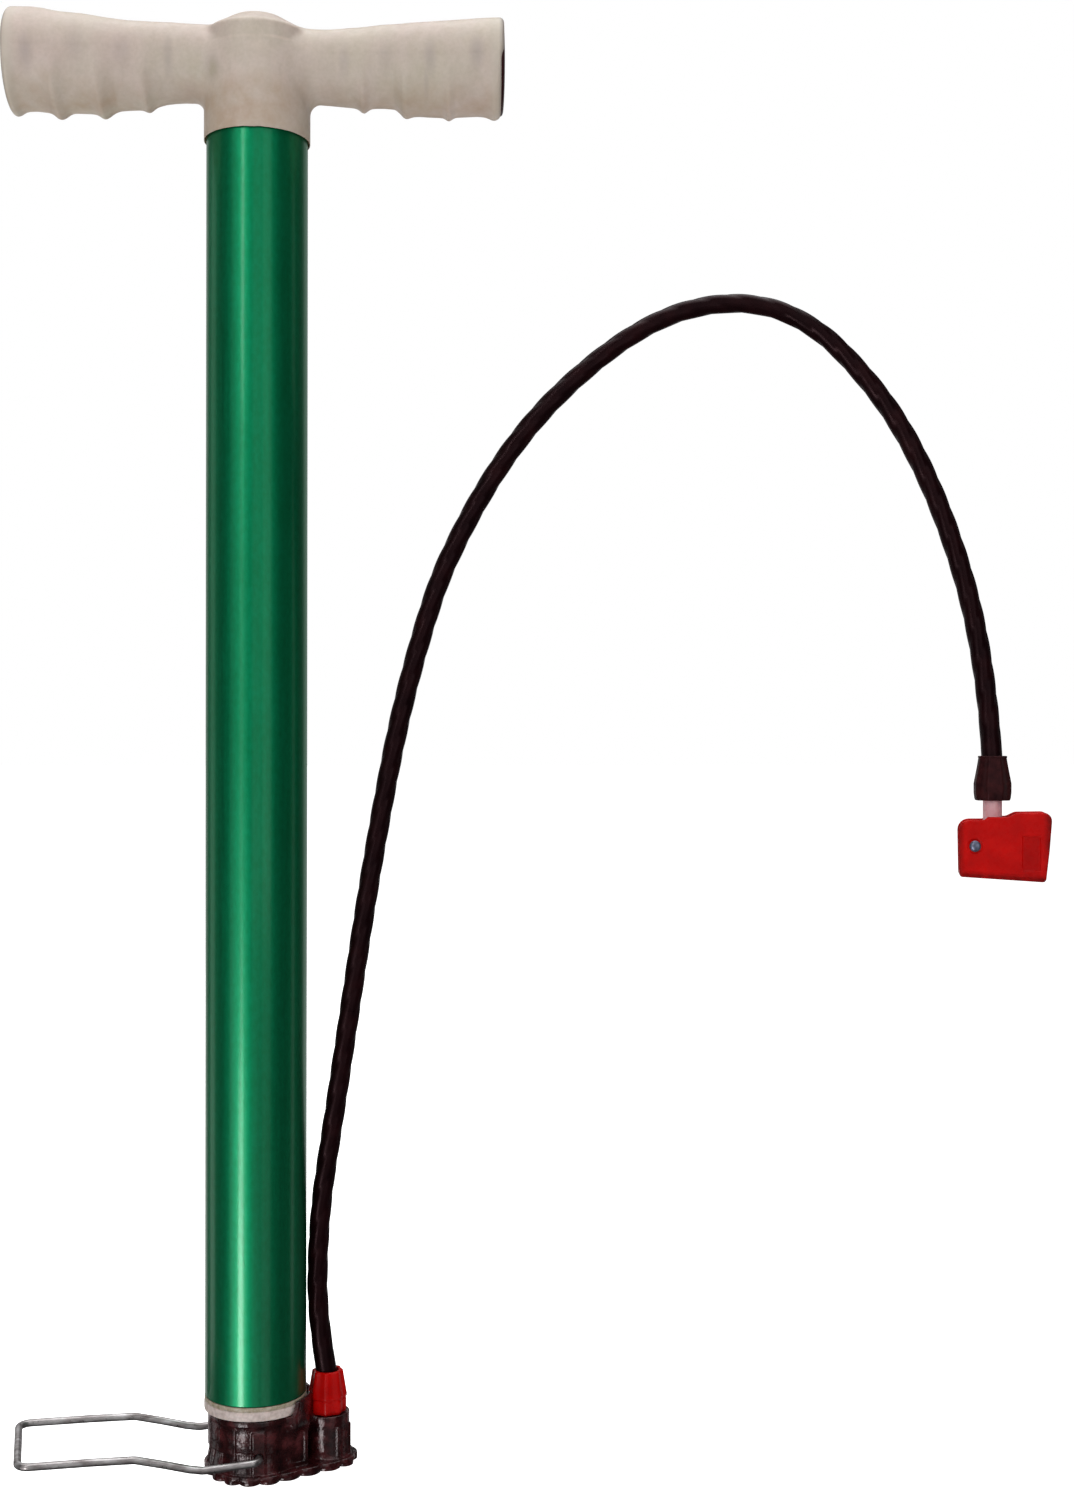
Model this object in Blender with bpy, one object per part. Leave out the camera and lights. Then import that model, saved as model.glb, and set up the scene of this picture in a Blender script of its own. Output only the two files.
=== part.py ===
# Floor bike pump: steel barrel, T-handle piston rod, cast base with a wire foot
# stirrup, and a reinforced hose that ends in a lever valve head.
#
# Frame: +Z up along the barrel, origin on the barrel's axis at the floor.
# The base's outlet arm runs along +X, the foot stirrup along -X, and the
# stirrup's hinge lies along Y.  All constants are millimetres and degrees.
import math

import bmesh
import bpy
from mathutils import Matrix, Vector

MM = 0.001

# ---------------------------------------------------------------- dimensions
# barrel
TUBE_R = 19.0            # 38 mm tube
TUBE_WALL = 1.0
TUBE_BOTTOM = 28.0
TUBE_TOP = 505.0
# spacer ring between the tube and the base
RING_R = 19.2
RING_Z0, RING_Z1 = 22.7, 27.7
# base casting
BODY_R = 17.7
BODY_TOP = 22.4
SPIGOT_R = 17.6
SPIGOT_TOP = 40.0
FLANGE_R = 20.9
FLANGE_Z = 3.0
LUG_Z = 1.3
OUTLET_X = 26.7          # axis of the hose outlet
BOSS_R = 8.2
BOSS_TOP = 18.0
FOOT_R = 11.2            # flange radius round the outlet boss
BLOCK_TOP = 18.4
CRADLE_R0, CRADLE_R1 = 19.65, 20.95
CRADLE_TOP = 27.4
CRADLE_HALF_ANGLE = 56.0
LUG_PITCH = 8.2
RIB_ANGLES = (112.5, 135.0, 157.5, 180.0)
CHANNEL_Z = 4.6
# stirrup
WIRE_R = 1.25
PIVOT_Z = 9.4
ARM_FRONT, ARM_BACK = -22.75, 21.5       # the wire loop's two arms
LOOP_FRONT, LOOP_BACK = -84.3, -86.5     # its end, a little out of square
# outlet fittings
NUT_Z0, NUT_Z1 = 18.4, 34.0
# hose
HOSE_R = 4.0
HOSE_YAW = -12.0         # yaw of the upright plane in which the hose arches
HOSE_DEPTH_END = 12.0    # how far behind the barrel's axis the hose ends
# handle
HANDLE_YAW = -9.5        # turn of the handle on its rod, as it stands at rest
GRIP_Z = 521.4
GRIP_HALF = 90.3
PLUG_OUT = 91.8          # outer face of the plugs in the grip's two ends
HUB_R = 19.9
HUB_BOTTOM = 491.0
DOME_TOP = 539.8
DOME_R = 30.4
# rod and piston
ROD_R = 4.0
ROD_TOP = 528.0
ROD_SHOULDER = 55.1
STUB_R = 3.0
# valve head, in its own frame: x towards the mouth, z up, origin on the pin
NECK_SIDE, PIN_Z = 277.0, 230.5
NECK_U = 6.7
HEAD_YAW = -23.0         # the head's turn on the hose's end
HEAD_R = 7.0

YAW = math.radians(HOSE_YAW)
RIGHT = Vector((math.cos(YAW), math.sin(YAW), 0.0))
AWAY = Vector((-math.sin(YAW), math.cos(YAW), 0.0))


def in_hose_plane(side, depth, z):
    """A point given sideways and backwards in the hose's upright plane."""
    return RIGHT * side + AWAY * depth + Vector((0.0, 0.0, z))


HEAD = (Matrix.Translation(in_hose_plane(NECK_SIDE, HOSE_DEPTH_END, PIN_Z))
        @ Matrix.Rotation(math.radians(HEAD_YAW), 4, "Z") @ Matrix.Translation((-NECK_U, 0.0, 0.0)))
PIN = HEAD.to_translation()

# The hose's route: sideways distance and height of its middle, from the outlet
# nut up, over the arch and down to the valve head.
HOSE_ROUTE = (
    (26.0, 26.1), (25.75, 33.0), (24.3, 42.0), (22.3, 60.0), (22.5, 78.5), (23.8, 97.5),
    (26.4, 116.0), (29.3, 135.0), (34.8, 172.5), (40.4, 210.0), (46.8, 247.5), (54.3, 285.0),
    (65.0, 323.0), (72.6, 341.5), (82.4, 360.5), (94.5, 379.5), (110.3, 398.5), (131.3, 417.0),
    (150.0, 428.5), (165.5, 433.7), (180.5, 435.3), (195.5, 432.9), (208.5, 426.3),
    (219.5, 417.3), (235.4, 399.0), (247.0, 380.0), (255.8, 361.0), (262.8, 342.0),
    (268.4, 323.0), (272.3, 304.0), (275.0, 285.0), (276.6, 267.0), (277.0, 257.8),
)

# ------------------------------------------------------------ clear the scene
for _obj in list(bpy.data.objects):
    bpy.data.objects.remove(_obj, do_unlink=True)

MATERIALS = {
    # name: (colour, roughness, metallic)
    "green_metal": ((0.004, 0.105, 0.052), 0.26, 0.55),
    "ring_plastic": ((0.56, 0.50, 0.45), 0.45, 0.0),
    "base_black": ((0.018, 0.008, 0.008), 0.25, 0.0),
    "steel": ((0.55, 0.55, 0.56), 0.28, 1.0),
    "zinc": ((0.60, 0.60, 0.58), 0.38, 1.0),
    "brass": ((0.62, 0.44, 0.18), 0.32, 1.0),
    "rubber": ((0.014, 0.012, 0.012), 0.65, 0.0),
    "hose_rubber": ((0.012, 0.004, 0.005), 0.38, 0.0),
    "red_plastic": ((0.52, 0.010, 0.006), 0.35, 0.0),
    "black_plastic": ((0.016, 0.010, 0.010), 0.35, 0.0),
    "head_plastic": ((0.62, 0.50, 0.48), 0.45, 0.0),
    "handle_plastic": ((0.47, 0.40, 0.34), 0.42, 0.0),
    "guide_plastic": ((0.50, 0.47, 0.42), 0.50, 0.0),
    "cup_rubber": ((0.10, 0.05, 0.025), 0.70, 0.0),
}


def material_for(part_name, base):
    colour, rough, metal = MATERIALS[base]
    mat = bpy.data.materials.new(part_name + "_mat")
    mat.use_nodes = True
    shader = mat.node_tree.nodes["Principled BSDF"]
    shader.inputs["Base Color"].default_value = (*colour, 1.0)
    shader.inputs["Roughness"].default_value = rough
    shader.inputs["Metallic"].default_value = metal
    return mat


# ------------------------------------------------------------- modelling kit
def bmesh_to_object(bm, name):
    bmesh.ops.recalc_face_normals(bm, faces=bm.faces)
    if bm.calc_volume(signed=True) < 0.0:
        bmesh.ops.reverse_faces(bm, faces=bm.faces)
    mesh = bpy.data.meshes.new(name)
    bm.to_mesh(mesh)
    bm.free()
    obj = bpy.data.objects.new(name, mesh)
    bpy.context.scene.collection.objects.link(obj)
    return obj


def lathe(name, profile, segments=48, matrix=None, start=0.0):
    """Turn a closed profile of (radius, height) points once round Z."""
    bm = bmesh.new()
    verts = [bm.verts.new((r * math.cos(start) * MM, r * math.sin(start) * MM, z * MM))
             for r, z in profile]
    edges = [bm.edges.new((verts[i], verts[(i + 1) % len(verts)]))
             for i in range(len(verts))
             if not (profile[i][0] == 0.0 and profile[(i + 1) % len(verts)][0] == 0.0)]
    bmesh.ops.spin(bm, geom=verts + edges, cent=(0, 0, 0), axis=(0, 0, 1),
                   angle=2.0 * math.pi, steps=segments, use_merge=True)
    bmesh.ops.remove_doubles(bm, verts=bm.verts, dist=1e-7)
    if matrix is not None:
        bm.transform(metre(matrix))
    return bmesh_to_object(bm, name)


def metre(matrix):
    """The same placement with its shift turned from millimetres to metres."""
    out = matrix.copy()
    out.translation = matrix.translation * MM
    return out


def loft(name, rings, matrix=None):
    """Close a body through rings of equal length, capped at both ends."""
    bm = bmesh.new()
    rows = [[bm.verts.new(Vector(p) * MM) for p in ring] for ring in rings]
    count = len(rows[0])
    for low, high in zip(rows, rows[1:]):
        for i in range(count):
            j = (i + 1) % count
            bm.faces.new((low[i], low[j], high[j], high[i]))
    bm.faces.new(list(reversed(rows[0])))
    bm.faces.new(rows[-1])
    if matrix is not None:
        bm.transform(metre(matrix))
    return bmesh_to_object(bm, name)


def prism(name, outline, z0, z1, matrix=None):
    """Extrude a flat outline of (x, y) points from z0 to z1."""
    return loft(name, [[(x, y, z0) for x, y in outline],
                       [(x, y, z1) for x, y in outline]], matrix)


def box(name, x0, x1, y0, y1, z0, z1, matrix=None):
    return prism(name, [(x0, y0), (x1, y0), (x1, y1), (x0, y1)], z0, z1, matrix)


def cylinder(name, radius, z0, z1, segments=32, matrix=None):
    return prism(name, circle(radius, segments), z0, z1, matrix)


def circle(radius, segments, cx=0.0, cy=0.0, start=0.0):
    return [(cx + radius * math.cos(start + 2.0 * math.pi * i / segments),
             cy + radius * math.sin(start + 2.0 * math.pi * i / segments))
            for i in range(segments)]


def boolean(target, tool, operation):
    """Apply an exact Boolean and drop the tool."""
    mod = target.modifiers.new("cut", "BOOLEAN")
    mod.operation = operation
    mod.solver = "EXACT"
    mod.object = tool
    depsgraph = bpy.context.evaluated_depsgraph_get()
    result = bpy.data.meshes.new_from_object(target.evaluated_get(depsgraph))
    target.modifiers.clear()
    old = target.data
    target.data = result
    bpy.data.meshes.remove(old)
    bpy.data.objects.remove(tool, do_unlink=True)
    bm = bmesh.new()
    bm.from_mesh(target.data)
    bmesh.ops.remove_doubles(bm, verts=bm.verts, dist=2e-6)
    bmesh.ops.dissolve_degenerate(bm, dist=1e-6, edges=bm.edges)
    bm.to_mesh(target.data)
    bm.free()
    return target


def cut(target, tool):
    return boolean(target, tool, "DIFFERENCE")


def fuse(target, tool):
    return boolean(target, tool, "UNION")


def finish(obj, name, base, smooth=35.0, origin=None):
    """Name the piece, give it its material, and put its origin on its axis."""
    obj.name = name
    obj.data.name = name
    obj.data.materials.clear()
    obj.data.materials.append(material_for(name, base))
    if smooth:
        obj.data.shade_smooth()
        obj.data.set_sharp_from_angle(angle=math.radians(smooth))
    if origin is not None:
        shift = Vector(origin) * MM
        obj.data.transform(Matrix.Translation(-shift))
        obj.location = shift
    return obj


def smooth_path(points, spacing):
    """Evenly spaced points on a Catmull-Rom curve through the given ones."""
    pts = [Vector(p) for p in points]
    ends = [pts[0] * 2 - pts[1]] + pts + [pts[-1] * 2 - pts[-2]]
    dense = []
    for i in range(1, len(ends) - 2):
        a, b, c, d = ends[i - 1], ends[i], ends[i + 1], ends[i + 2]
        for k in range(16):
            t = k / 16.0
            dense.append(0.5 * ((2 * b) + (c - a) * t + (2 * a - 5 * b + 4 * c - d) * t * t
                                + (3 * b - a - 3 * c + d) * t ** 3))
    dense.append(pts[-1])
    for _ in range(60):
        # relax the fine points a little, so the curve has no kinks at its guide points
        dense = ([dense[0], dense[1]]
                 + [(dense[i - 1] + dense[i] * 2 + dense[i + 1]) / 4.0
                    for i in range(2, len(dense) - 2)]
                 + [dense[-2], dense[-1]])
    run = [0.0]
    for p, q in zip(dense, dense[1:]):
        run.append(run[-1] + (q - p).length)
    steps = max(2, round(run[-1] / spacing))
    out, j = [], 0
    for k in range(steps + 1):
        want = run[-1] * k / steps
        while j < len(run) - 2 and run[j + 1] < want:
            j += 1
        span = run[j + 1] - run[j]
        t = 0.0 if span == 0.0 else (want - run[j]) / span
        out.append(dense[j].lerp(dense[j + 1], min(1.0, max(0.0, t))))
    return out


def rounded_corners(points, radii, steps=5):
    """Replace the inner corners of a 3-D polyline with arcs."""
    pts = [Vector(p) for p in points]
    out = [pts[0]]
    for i in range(1, len(pts) - 1):
        r = radii[i]
        if r <= 0.0:
            out.append(pts[i])
            continue
        a = (pts[i - 1] - pts[i]).normalized()
        b = (pts[i + 1] - pts[i]).normalized()
        half = 0.5 * a.angle(b)
        reach = r / math.tan(half)
        middle = pts[i] + (a + b).normalized() * (r / math.sin(half))
        start = pts[i] + a * reach - middle
        end = pts[i] + b * reach - middle
        turn = start.angle(end)
        for k in range(steps + 1):
            t = k / steps
            out.append(middle + (start * math.sin((1 - t) * turn) + end * math.sin(t * turn))
                       / math.sin(turn))
    out.append(pts[-1])
    return out


def poly_tube(name, points, radius, bevel_resolution, base, origin=None):
    """A tube: one open poly spline with a round bevel and filled caps."""
    curve = bpy.data.curves.new(name, "CURVE")
    curve.dimensions = "3D"
    spline = curve.splines.new("POLY")
    spline.points.add(len(points) - 1)
    shift = Vector(origin) if origin is not None else Vector((0.0, 0.0, 0.0))
    for target, p in zip(spline.points, points):
        target.co = (*((Vector(p) - shift) * MM), 1.0)
    curve.bevel_depth = radius * MM
    curve.bevel_resolution = bevel_resolution
    curve.use_fill_caps = True
    obj = bpy.data.objects.new(name, curve)
    obj.location = shift * MM
    bpy.context.scene.collection.objects.link(obj)
    curve.materials.append(material_for(name, base))
    return obj


def ring_shape(name, inner, outer, z0, z1, segments=40, matrix=None):
    return lathe(name, [(inner, z0), (outer, z0), (outer, z1), (inner, z1)], segments, matrix)


def faceted(name, stations, bore, sides, matrix=None, flute=0.0):
    """A nut: a many-sided outside through (radius, height) stations, bored out.

    bore is a list of (radius, z0, z1)."""
    rings = []
    for r, z in stations:
        ring = []
        for i in range(sides * 3):
            ang = 2.0 * math.pi * i / (sides * 3)
            local = (i % 3) / 3.0
            dip = flute * math.sin(math.pi * local)
            ring.append(((r - dip) * math.cos(ang), (r - dip) * math.sin(ang), z))
        rings.append(ring)
    body = loft(name, rings, matrix)
    for k, (r, z0, z1) in enumerate(bore):
        cut(body, cylinder(name + "_bore%d" % k, r, z0, z1, 24, matrix))
    return body


# ----------------------------------------------------------------- the barrel
finish(lathe("barrel_tube", [
    (TUBE_R - TUBE_WALL, TUBE_BOTTOM), (TUBE_R, TUBE_BOTTOM),
    (TUBE_R, TUBE_TOP - 0.3), (TUBE_R - 0.3, TUBE_TOP), (TUBE_R - TUBE_WALL, TUBE_TOP)], 48),
    "barrel_tube", "green_metal")

finish(lathe("base_ring", [
    (18.0, RING_Z0), (RING_R, RING_Z0), (RING_R, 26.0),
    (RING_R - 0.2, 26.2), (RING_R - 0.2, RING_Z1), (18.0, RING_Z1)], 40), "base_ring", "ring_plastic")


# ----------------------------------------------------------- the base casting
def teardrop(offset, steps_per_mm):
    """Outline round the barrel's foot and the outlet boss: points, normals, run."""
    r1, r2 = FLANGE_R + offset, FOOT_R + offset
    lean = math.asin((r1 - r2) / OUTLET_X)
    top = math.pi / 2 - lean
    pts = []
    n = 120
    for i in range(n + 1):                      # left part, from the lean angle round to it
        a = top + (2 * math.pi - 2 * top) * i / n
        pts.append(((r1 * math.cos(a), r1 * math.sin(a)), (math.cos(a), math.sin(a))))
    x0, y0 = pts[-1][0]
    x1, y1 = OUTLET_X + r2 * math.cos(-top), r2 * math.sin(-top)
    m = 40
    for i in range(1, m):
        t = i / m
        pts.append(((x0 + (x1 - x0) * t, y0 + (y1 - y0) * t), pts[n][1]))
    for i in range(n // 2 + 1):
        a = -top + 2 * top * i / (n // 2)
        pts.append(((OUTLET_X + r2 * math.cos(a), r2 * math.sin(a)), (math.cos(a), math.sin(a))))
    x0, y0 = pts[-1][0]
    x1, y1 = pts[0][0]
    for i in range(1, m):
        t = i / m
        pts.append(((x0 + (x1 - x0) * t, y0 + (y1 - y0) * t), pts[0][1]))
    return pts


def evenly(pts, count, first):
    """Resample a closed outline evenly, starting at the point nearest to first."""
    k0 = min(range(len(pts)), key=lambda k: (pts[k][0][0] - first[0]) ** 2
             + (pts[k][0][1] - first[1]) ** 2)
    pts = pts[k0:] + pts[:k0] + [pts[k0]]
    run = [0.0]
    for (p, _), (q, _) in zip(pts, pts[1:]):
        run.append(run[-1] + math.hypot(q[0] - p[0], q[1] - p[1]))
    out, j = [], 0
    for k in range(count):
        want = run[-1] * k / count
        while run[j + 1] < want:
            j += 1
        t = (want - run[j]) / (run[j + 1] - run[j])
        (px, py), (nx, ny) = pts[j]
        (qx, qy), (mx, my) = pts[j + 1]
        nn = Vector((nx + (mx - nx) * t, ny + (my - ny) * t)).normalized()
        out.append(((px + (qx - px) * t, py + (qy - py) * t), (nn.x, nn.y)))
    return out, run[-1]


OUTLINE_RAW = teardrop(0.0, 4)
_, PERIMETER = evenly(OUTLINE_RAW, 10, (-FLANGE_R, 0.0))
LUGS = round(PERIMETER / LUG_PITCH)
PER_LUG = 6
OUTLINE, _ = evenly(OUTLINE_RAW, LUGS * PER_LUG, (-FLANGE_R, 0.0))


def scalloped(depth, inset, z):
    """The foot's outline, dipping inwards between its lugs."""
    ring = []
    for k, ((x, y), (nx, ny)) in enumerate(OUTLINE):
        u = (k % PER_LUG) / PER_LUG
        dip = depth * (1.0 - math.sin(math.pi * u) ** 0.7) + inset
        ring.append((x - nx * dip, y - ny * dip, z))
    return ring


base = loft("base_casting", [
    scalloped(2.3, 0.35, 0.0), scalloped(2.3, 0.0, 0.4), scalloped(2.2, 0.0, LUG_Z),
    scalloped(0.7, 0.0, LUG_Z + 0.35), scalloped(0.6, 0.05, FLANGE_Z - 0.5),
    scalloped(0.3, 0.6, FLANGE_Z)])


RIB_PLACES = sorted({a % 360.0 for at in RIB_ANGLES for a in (at, -at)})
BODY_ANGLES = sorted({(at + d) % 360.0 for at in RIB_PLACES for d in (-3.6, -1.6, 1.6, 3.6)}
                     | {at + 11.25 for at in RIB_PLACES if at < 240.0}
                     | {(k * 15.0) % 360.0 for k in range(-6, 7)} | {101.25})


def body_ring(r, z, rib):
    """One level of the round body, with upright ribs at the back and sides."""
    ring = []
    for deg in BODY_ANGLES:
        wrapped = abs((deg + 180.0) % 360.0 - 180.0)
        out = rib if any(abs(wrapped - at) < 2.0 for at in RIB_ANGLES) else 0.0
        ang = math.radians(deg)
        ring.append(((r + out) * math.cos(ang), (r + out) * math.sin(ang), z))
    return ring


fuse(base, loft("body", [
    body_ring(19.0, 1.5, 0.5), body_ring(18.5, 4.4, 0.8),
    body_ring(BODY_R, 8.5, 0.8), body_ring(18.1, 18.0, 0.8), body_ring(18.4, 20.0, 0.1),
    body_ring(18.3, BODY_TOP, 0.0)]))

# block that carries the outlet passage, with slanted flanks
BLOCK = [(0.0, -15.5), (5.5, -16.3), (18.3, -11.0), (18.3, 11.0), (5.5, 16.3), (0.0, 15.5)]
block = prism("block", BLOCK, 1.7, BLOCK_TOP)
# a sunk panel in each flank, which leaves a plain border
flank = Vector((18.3 - 5.5, 5.3, 0.0)).normalized()
for side in (-1.0, 1.0):
    turn = math.atan2(5.3, 18.3 - 5.5) * (1.0 if side < 0 else -1.0)
    place = Matrix.Translation((11.9, side * 13.65, 0.0)) @ Matrix.Rotation(turn, 4, "Z")
    y0, y1 = (-3.0, 0.45) if side < 0 else (-0.45, 3.0)
    cut(block, box("panel", -3.6, 5.4, y0, y1, 4.6, 16.6, place))
fuse(base, block)

fuse(base, loft("boss", [
    [(x, y, 1.8) for x, y in circle(BOSS_R + 0.5, 36, OUTLET_X)],
    [(x, y, 4.2) for x, y in circle(BOSS_R, 36, OUTLET_X)],
    [(x, y, BOSS_TOP + 0.6) for x, y in circle(BOSS_R, 36, OUTLET_X)]]))


def sector(r0, r1, half, n):
    """Outline of a ring sector centred on +X."""
    a = [math.radians(-half + 2 * half * i / n) for i in range(n + 1)]
    return ([(r1 * math.cos(t), r1 * math.sin(t)) for t in a]
            + [(r0 * math.cos(t), r0 * math.sin(t)) for t in reversed(a)])


# cradle that stands up round the ring on the outlet's side
cradle = loft("cradle", [
    [(x, y, 14.0) for x, y in sector(16.0, 18.3, CRADLE_HALF_ANGLE - 4, 14)],
    [(x, y, 18.6) for x, y in sector(16.0, CRADLE_R1, CRADLE_HALF_ANGLE, 14)],
    [(x, y, CRADLE_TOP - 0.3) for x, y in sector(16.0, CRADLE_R1, CRADLE_HALF_ANGLE, 14)],
    [(x, y, CRADLE_TOP) for x, y in sector(16.0, CRADLE_R1 - 0.3, CRADLE_HALF_ANGLE, 14)]])
cut(cradle, cylinder("cradle_bore", CRADLE_R0, BODY_TOP + 0.03, 40.0, 48))
fuse(base, cradle)

cut(base, cylinder("nut_room", 7.7, BOSS_TOP, 40.0, 32, Matrix.Translation((OUTLET_X, 0, 0))))

# flat pads round the stirrup's two pivot holes
for side in (-1.0, 1.0):
    y0, y1 = (-18.75, -14.0) if side < 0 else (14.0, 18.75)
    fuse(base, box("pad", -2.5, 2.5, y0, y1, 2.2, 17.0))

# spigot that holds the barrel, with a groove for the seal and a dished top
fuse(base, lathe("spigot", [
    (0.0, 20.0), (SPIGOT_R, 20.0), (SPIGOT_R, 34.4), (15.9, 34.4), (15.9, 36.8), (SPIGOT_R, 36.8),
    (SPIGOT_R, 39.4), (SPIGOT_R - 0.6, SPIGOT_TOP), (13.0, SPIGOT_TOP), (12.0, 31.0), (0.0, 30.0)], 32))

# air passage: down from the dish, along the arm, up through the valve seat
cut(base, cylinder("drop", 2.0, CHANNEL_Z - 1.0, 32.0, 12))
cut(base, cylinder("along", 1.4, 0.0, OUTLET_X, 10,
                   Matrix.Translation((0, 0, CHANNEL_Z)) @ Matrix.Rotation(math.pi / 2, 4, "Y")))
AT_OUTLET = Matrix.Translation((OUTLET_X, 0, 0))
cut(base, lathe("outlet_bore", [
    (0.0, CHANNEL_Z - 1.0), (1.6, CHANNEL_Z - 1.0), (1.6, 6.8), (3.0, 6.8), (3.0, 12.0), (3.9, 12.0),
    (3.9, 30.0), (0.0, 30.0)], 20, AT_OUTLET))
# pivot holes for the stirrup
for side in (-1.0, 1.0):
    cut(base, cylinder("pivot_hole", 1.6, 12.6, 24.0, 12,
                       Matrix.Translation((0, 0, PIVOT_Z)) @ Matrix.Rotation(-side * math.pi / 2, 4, "X")))
finish(base, "base_casting", "base_black", 40.0)

# seal in the spigot's groove
finish(lathe("barrel_seal", [
    (16.95 + 0.7 * math.cos(2 * math.pi * k / 6), 35.6 + 0.7 * math.sin(2 * math.pi * k / 6))
    for k in range(6)], 32), "barrel_seal", "rubber")

# ------------------------------------------------------------ the foot stirrup
side_line = ((0.0, PIVOT_Z), (-20.0, 8.1), (-25.0, 9.0), (-34.0, 11.4), (-44.0, 13.8), (-60.0, 14.1))


def stirrup_arm(y, loop_x):
    leg = math.copysign(13.3, y)
    return ([(0.0, leg, PIVOT_Z), (0.0, y, PIVOT_Z)] + [(x, y, z) for x, z in side_line[1:]]
            + [(loop_x, y, 14.2)])


arm_radii = [0.0, 3.0, 8.0, 8.0, 0.0, 10.0, 0.0, 4.5]
path = stirrup_arm(ARM_BACK, LOOP_BACK) + stirrup_arm(ARM_FRONT, LOOP_FRONT)[::-1]
radii = arm_radii + arm_radii[::-1]
poly_tube("foot_stirrup", rounded_corners(path, radii, 3), WIRE_R, 2, "zinc",
          origin=(0.0, 0.0, PIVOT_Z))

# ------------------------------------------------------- outlet and check valve
# ball on its seat, spring above it, nipple, seal and hose nut
ball_z = 6.8 + math.sqrt(2.4 ** 2 - 1.6 ** 2) + 0.3
finish(lathe("check_valve_ball", [
    (2.4 * math.sin(math.pi * k / 10) if 0 < k < 10 else 0.0, ball_z - 2.4 * math.cos(math.pi * k / 10))
    for k in range(11)], 16, AT_OUTLET), "check_valve_ball", "steel", 60.0,
    origin=(OUTLET_X, 0.0, ball_z))
SPRING_Z0, SPRING_Z1, SPRING_TURNS = 11.35, 15.4, 3.5
coil = []
for k in range(int(SPRING_TURNS * 10) + 1):
    ang = 2 * math.pi * k / 10
    coil.append((OUTLET_X + 1.7 * math.cos(ang), 1.7 * math.sin(ang),
                 SPRING_Z0 + (SPRING_Z1 - SPRING_Z0) * k / (SPRING_TURNS * 10)))
poly_tube("check_valve_spring", coil, 0.22, 1, "steel", origin=(OUTLET_X, 0.0, SPRING_Z1))

finish(lathe("outlet_nipple", [
    (1.5, 16.0), (3.3, 16.0), (3.6, 16.3), (3.6, 19.6), (5.0, 19.6), (5.0, 25.4), (4.7, 25.7), (1.5, 25.7)],
    18, AT_OUTLET), "outlet_nipple", "brass")
finish(ring_shape("outlet_seal", 3.9, 5.0, 18.35, 19.3, 24, AT_OUTLET), "outlet_seal", "rubber")

finish(faceted("lower_hose_nut", [
    (6.7, NUT_Z0), (7.0, NUT_Z0 + 1.0), (7.1, 23.6), (6.95, 24.6), (5.85, 33.2), (5.65, NUT_Z1)],
    [(5.4, NUT_Z0 - 1.0, 26.0), (4.95, 25.0, NUT_Z1 + 1.0)], 8, AT_OUTLET, 0.28),
    "lower_hose_nut", "red_plastic", 25.0)

# ------------------------------------------------------------------- the hose
outlet_depth = OUTLET_X * -math.sin(YAW)
side0, side1 = HOSE_ROUTE[0][0], HOSE_ROUTE[-1][0]
route = []
for side, z in HOSE_ROUTE:
    share = (side - side0) / (side1 - side0)
    route.append(in_hose_plane(side, outlet_depth + (HOSE_DEPTH_END - outlet_depth) * share, z))
poly_tube("hose", smooth_path(route, 13.0), HOSE_R, 2, "hose_rubber")


# ------------------------------------------------------------ the valve head
def along_u(radius_profile, name, segments=32, u_shift=0.0):
    """Turn a profile of (radius, u) about the head's long axis."""
    turn = HEAD @ Matrix.Translation((u_shift, 0, 0)) @ Matrix.Rotation(math.pi / 2, 4, "Y")
    return lathe(name, radius_profile, segments, turn)


AT_NECK = HEAD @ Matrix.Translation((NECK_U, 0, 0))

head = along_u([
    (0.0, -5.0), (5.6, -5.0), (6.6, -4.3), (HEAD_R, -3.2), (HEAD_R, 21.6), (6.7, 22.0), (0.0, 22.0)],
    "head_body", 32)
fuse(head, lathe("neck", [
    (0.0, 3.0), (3.55, 3.0), (3.55, 17.6), (4.4, 17.9), (4.6, 18.4), (4.6, 26.2), (4.2, 26.7), (0.0, 26.7)],
    24, AT_NECK))
cut(head, box("cam_slot", -7.0, 4.6, -2.6, 2.6, -8.0, 5.2, HEAD))
cut(head, along_u([
    (0.0, 3.7), (4.2, 3.7), (4.2, 9.7), (6.0, 9.7), (6.0, 23.0), (0.0, 23.0)], "head_bore", 24))
cut(head, cylinder("neck_bore", 1.5, 2.0, 28.0, 12, AT_NECK))
ACROSS = HEAD @ Matrix.Rotation(math.pi / 2, 4, "X")
cut(head, cylinder("pin_hole", 1.8, -9.0, 9.0, 20, ACROSS))
finish(head, "head_body", "head_plastic", 40.0)

# plunger that squeezes the gland, moved by the cam
plunger = along_u([
    (0.0, 4.2), (3.9, 4.2), (3.9, 5.0), (2.9, 5.3), (2.9, 8.1), (3.9, 8.4), (3.9, 9.9), (5.7, 10.1),
    (5.7, 11.7), (1.3, 11.7), (1.3, 7.2), (0.0, 7.0)], "head_plunger", 18)
cut(plunger, cylinder("cross_port", 0.9, -4.0, 4.0, 10, AT_NECK @ Matrix.Translation((0.6, 0, 0))))
finish(plunger, "head_plunger", "guide_plastic", 40.0, origin=PIN)

finish(along_u([
    (4.15, 13.3), (5.3, 13.3), (5.7, 13.8), (5.7, 19.4), (5.3, 19.9), (4.15, 19.9)],
    "valve_gland", 24), "valve_gland", "rubber", 40.0)
finish(along_u([
    (4.25, 20.2), (5.7, 20.2), (5.7, 22.3), (HEAD_R, 22.3), (HEAD_R, 23.9), (6.6, 24.3), (4.65, 24.3),
    (4.25, 23.9)], "gland_cap", 24), "gland_cap", "black_plastic", 40.0)

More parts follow.
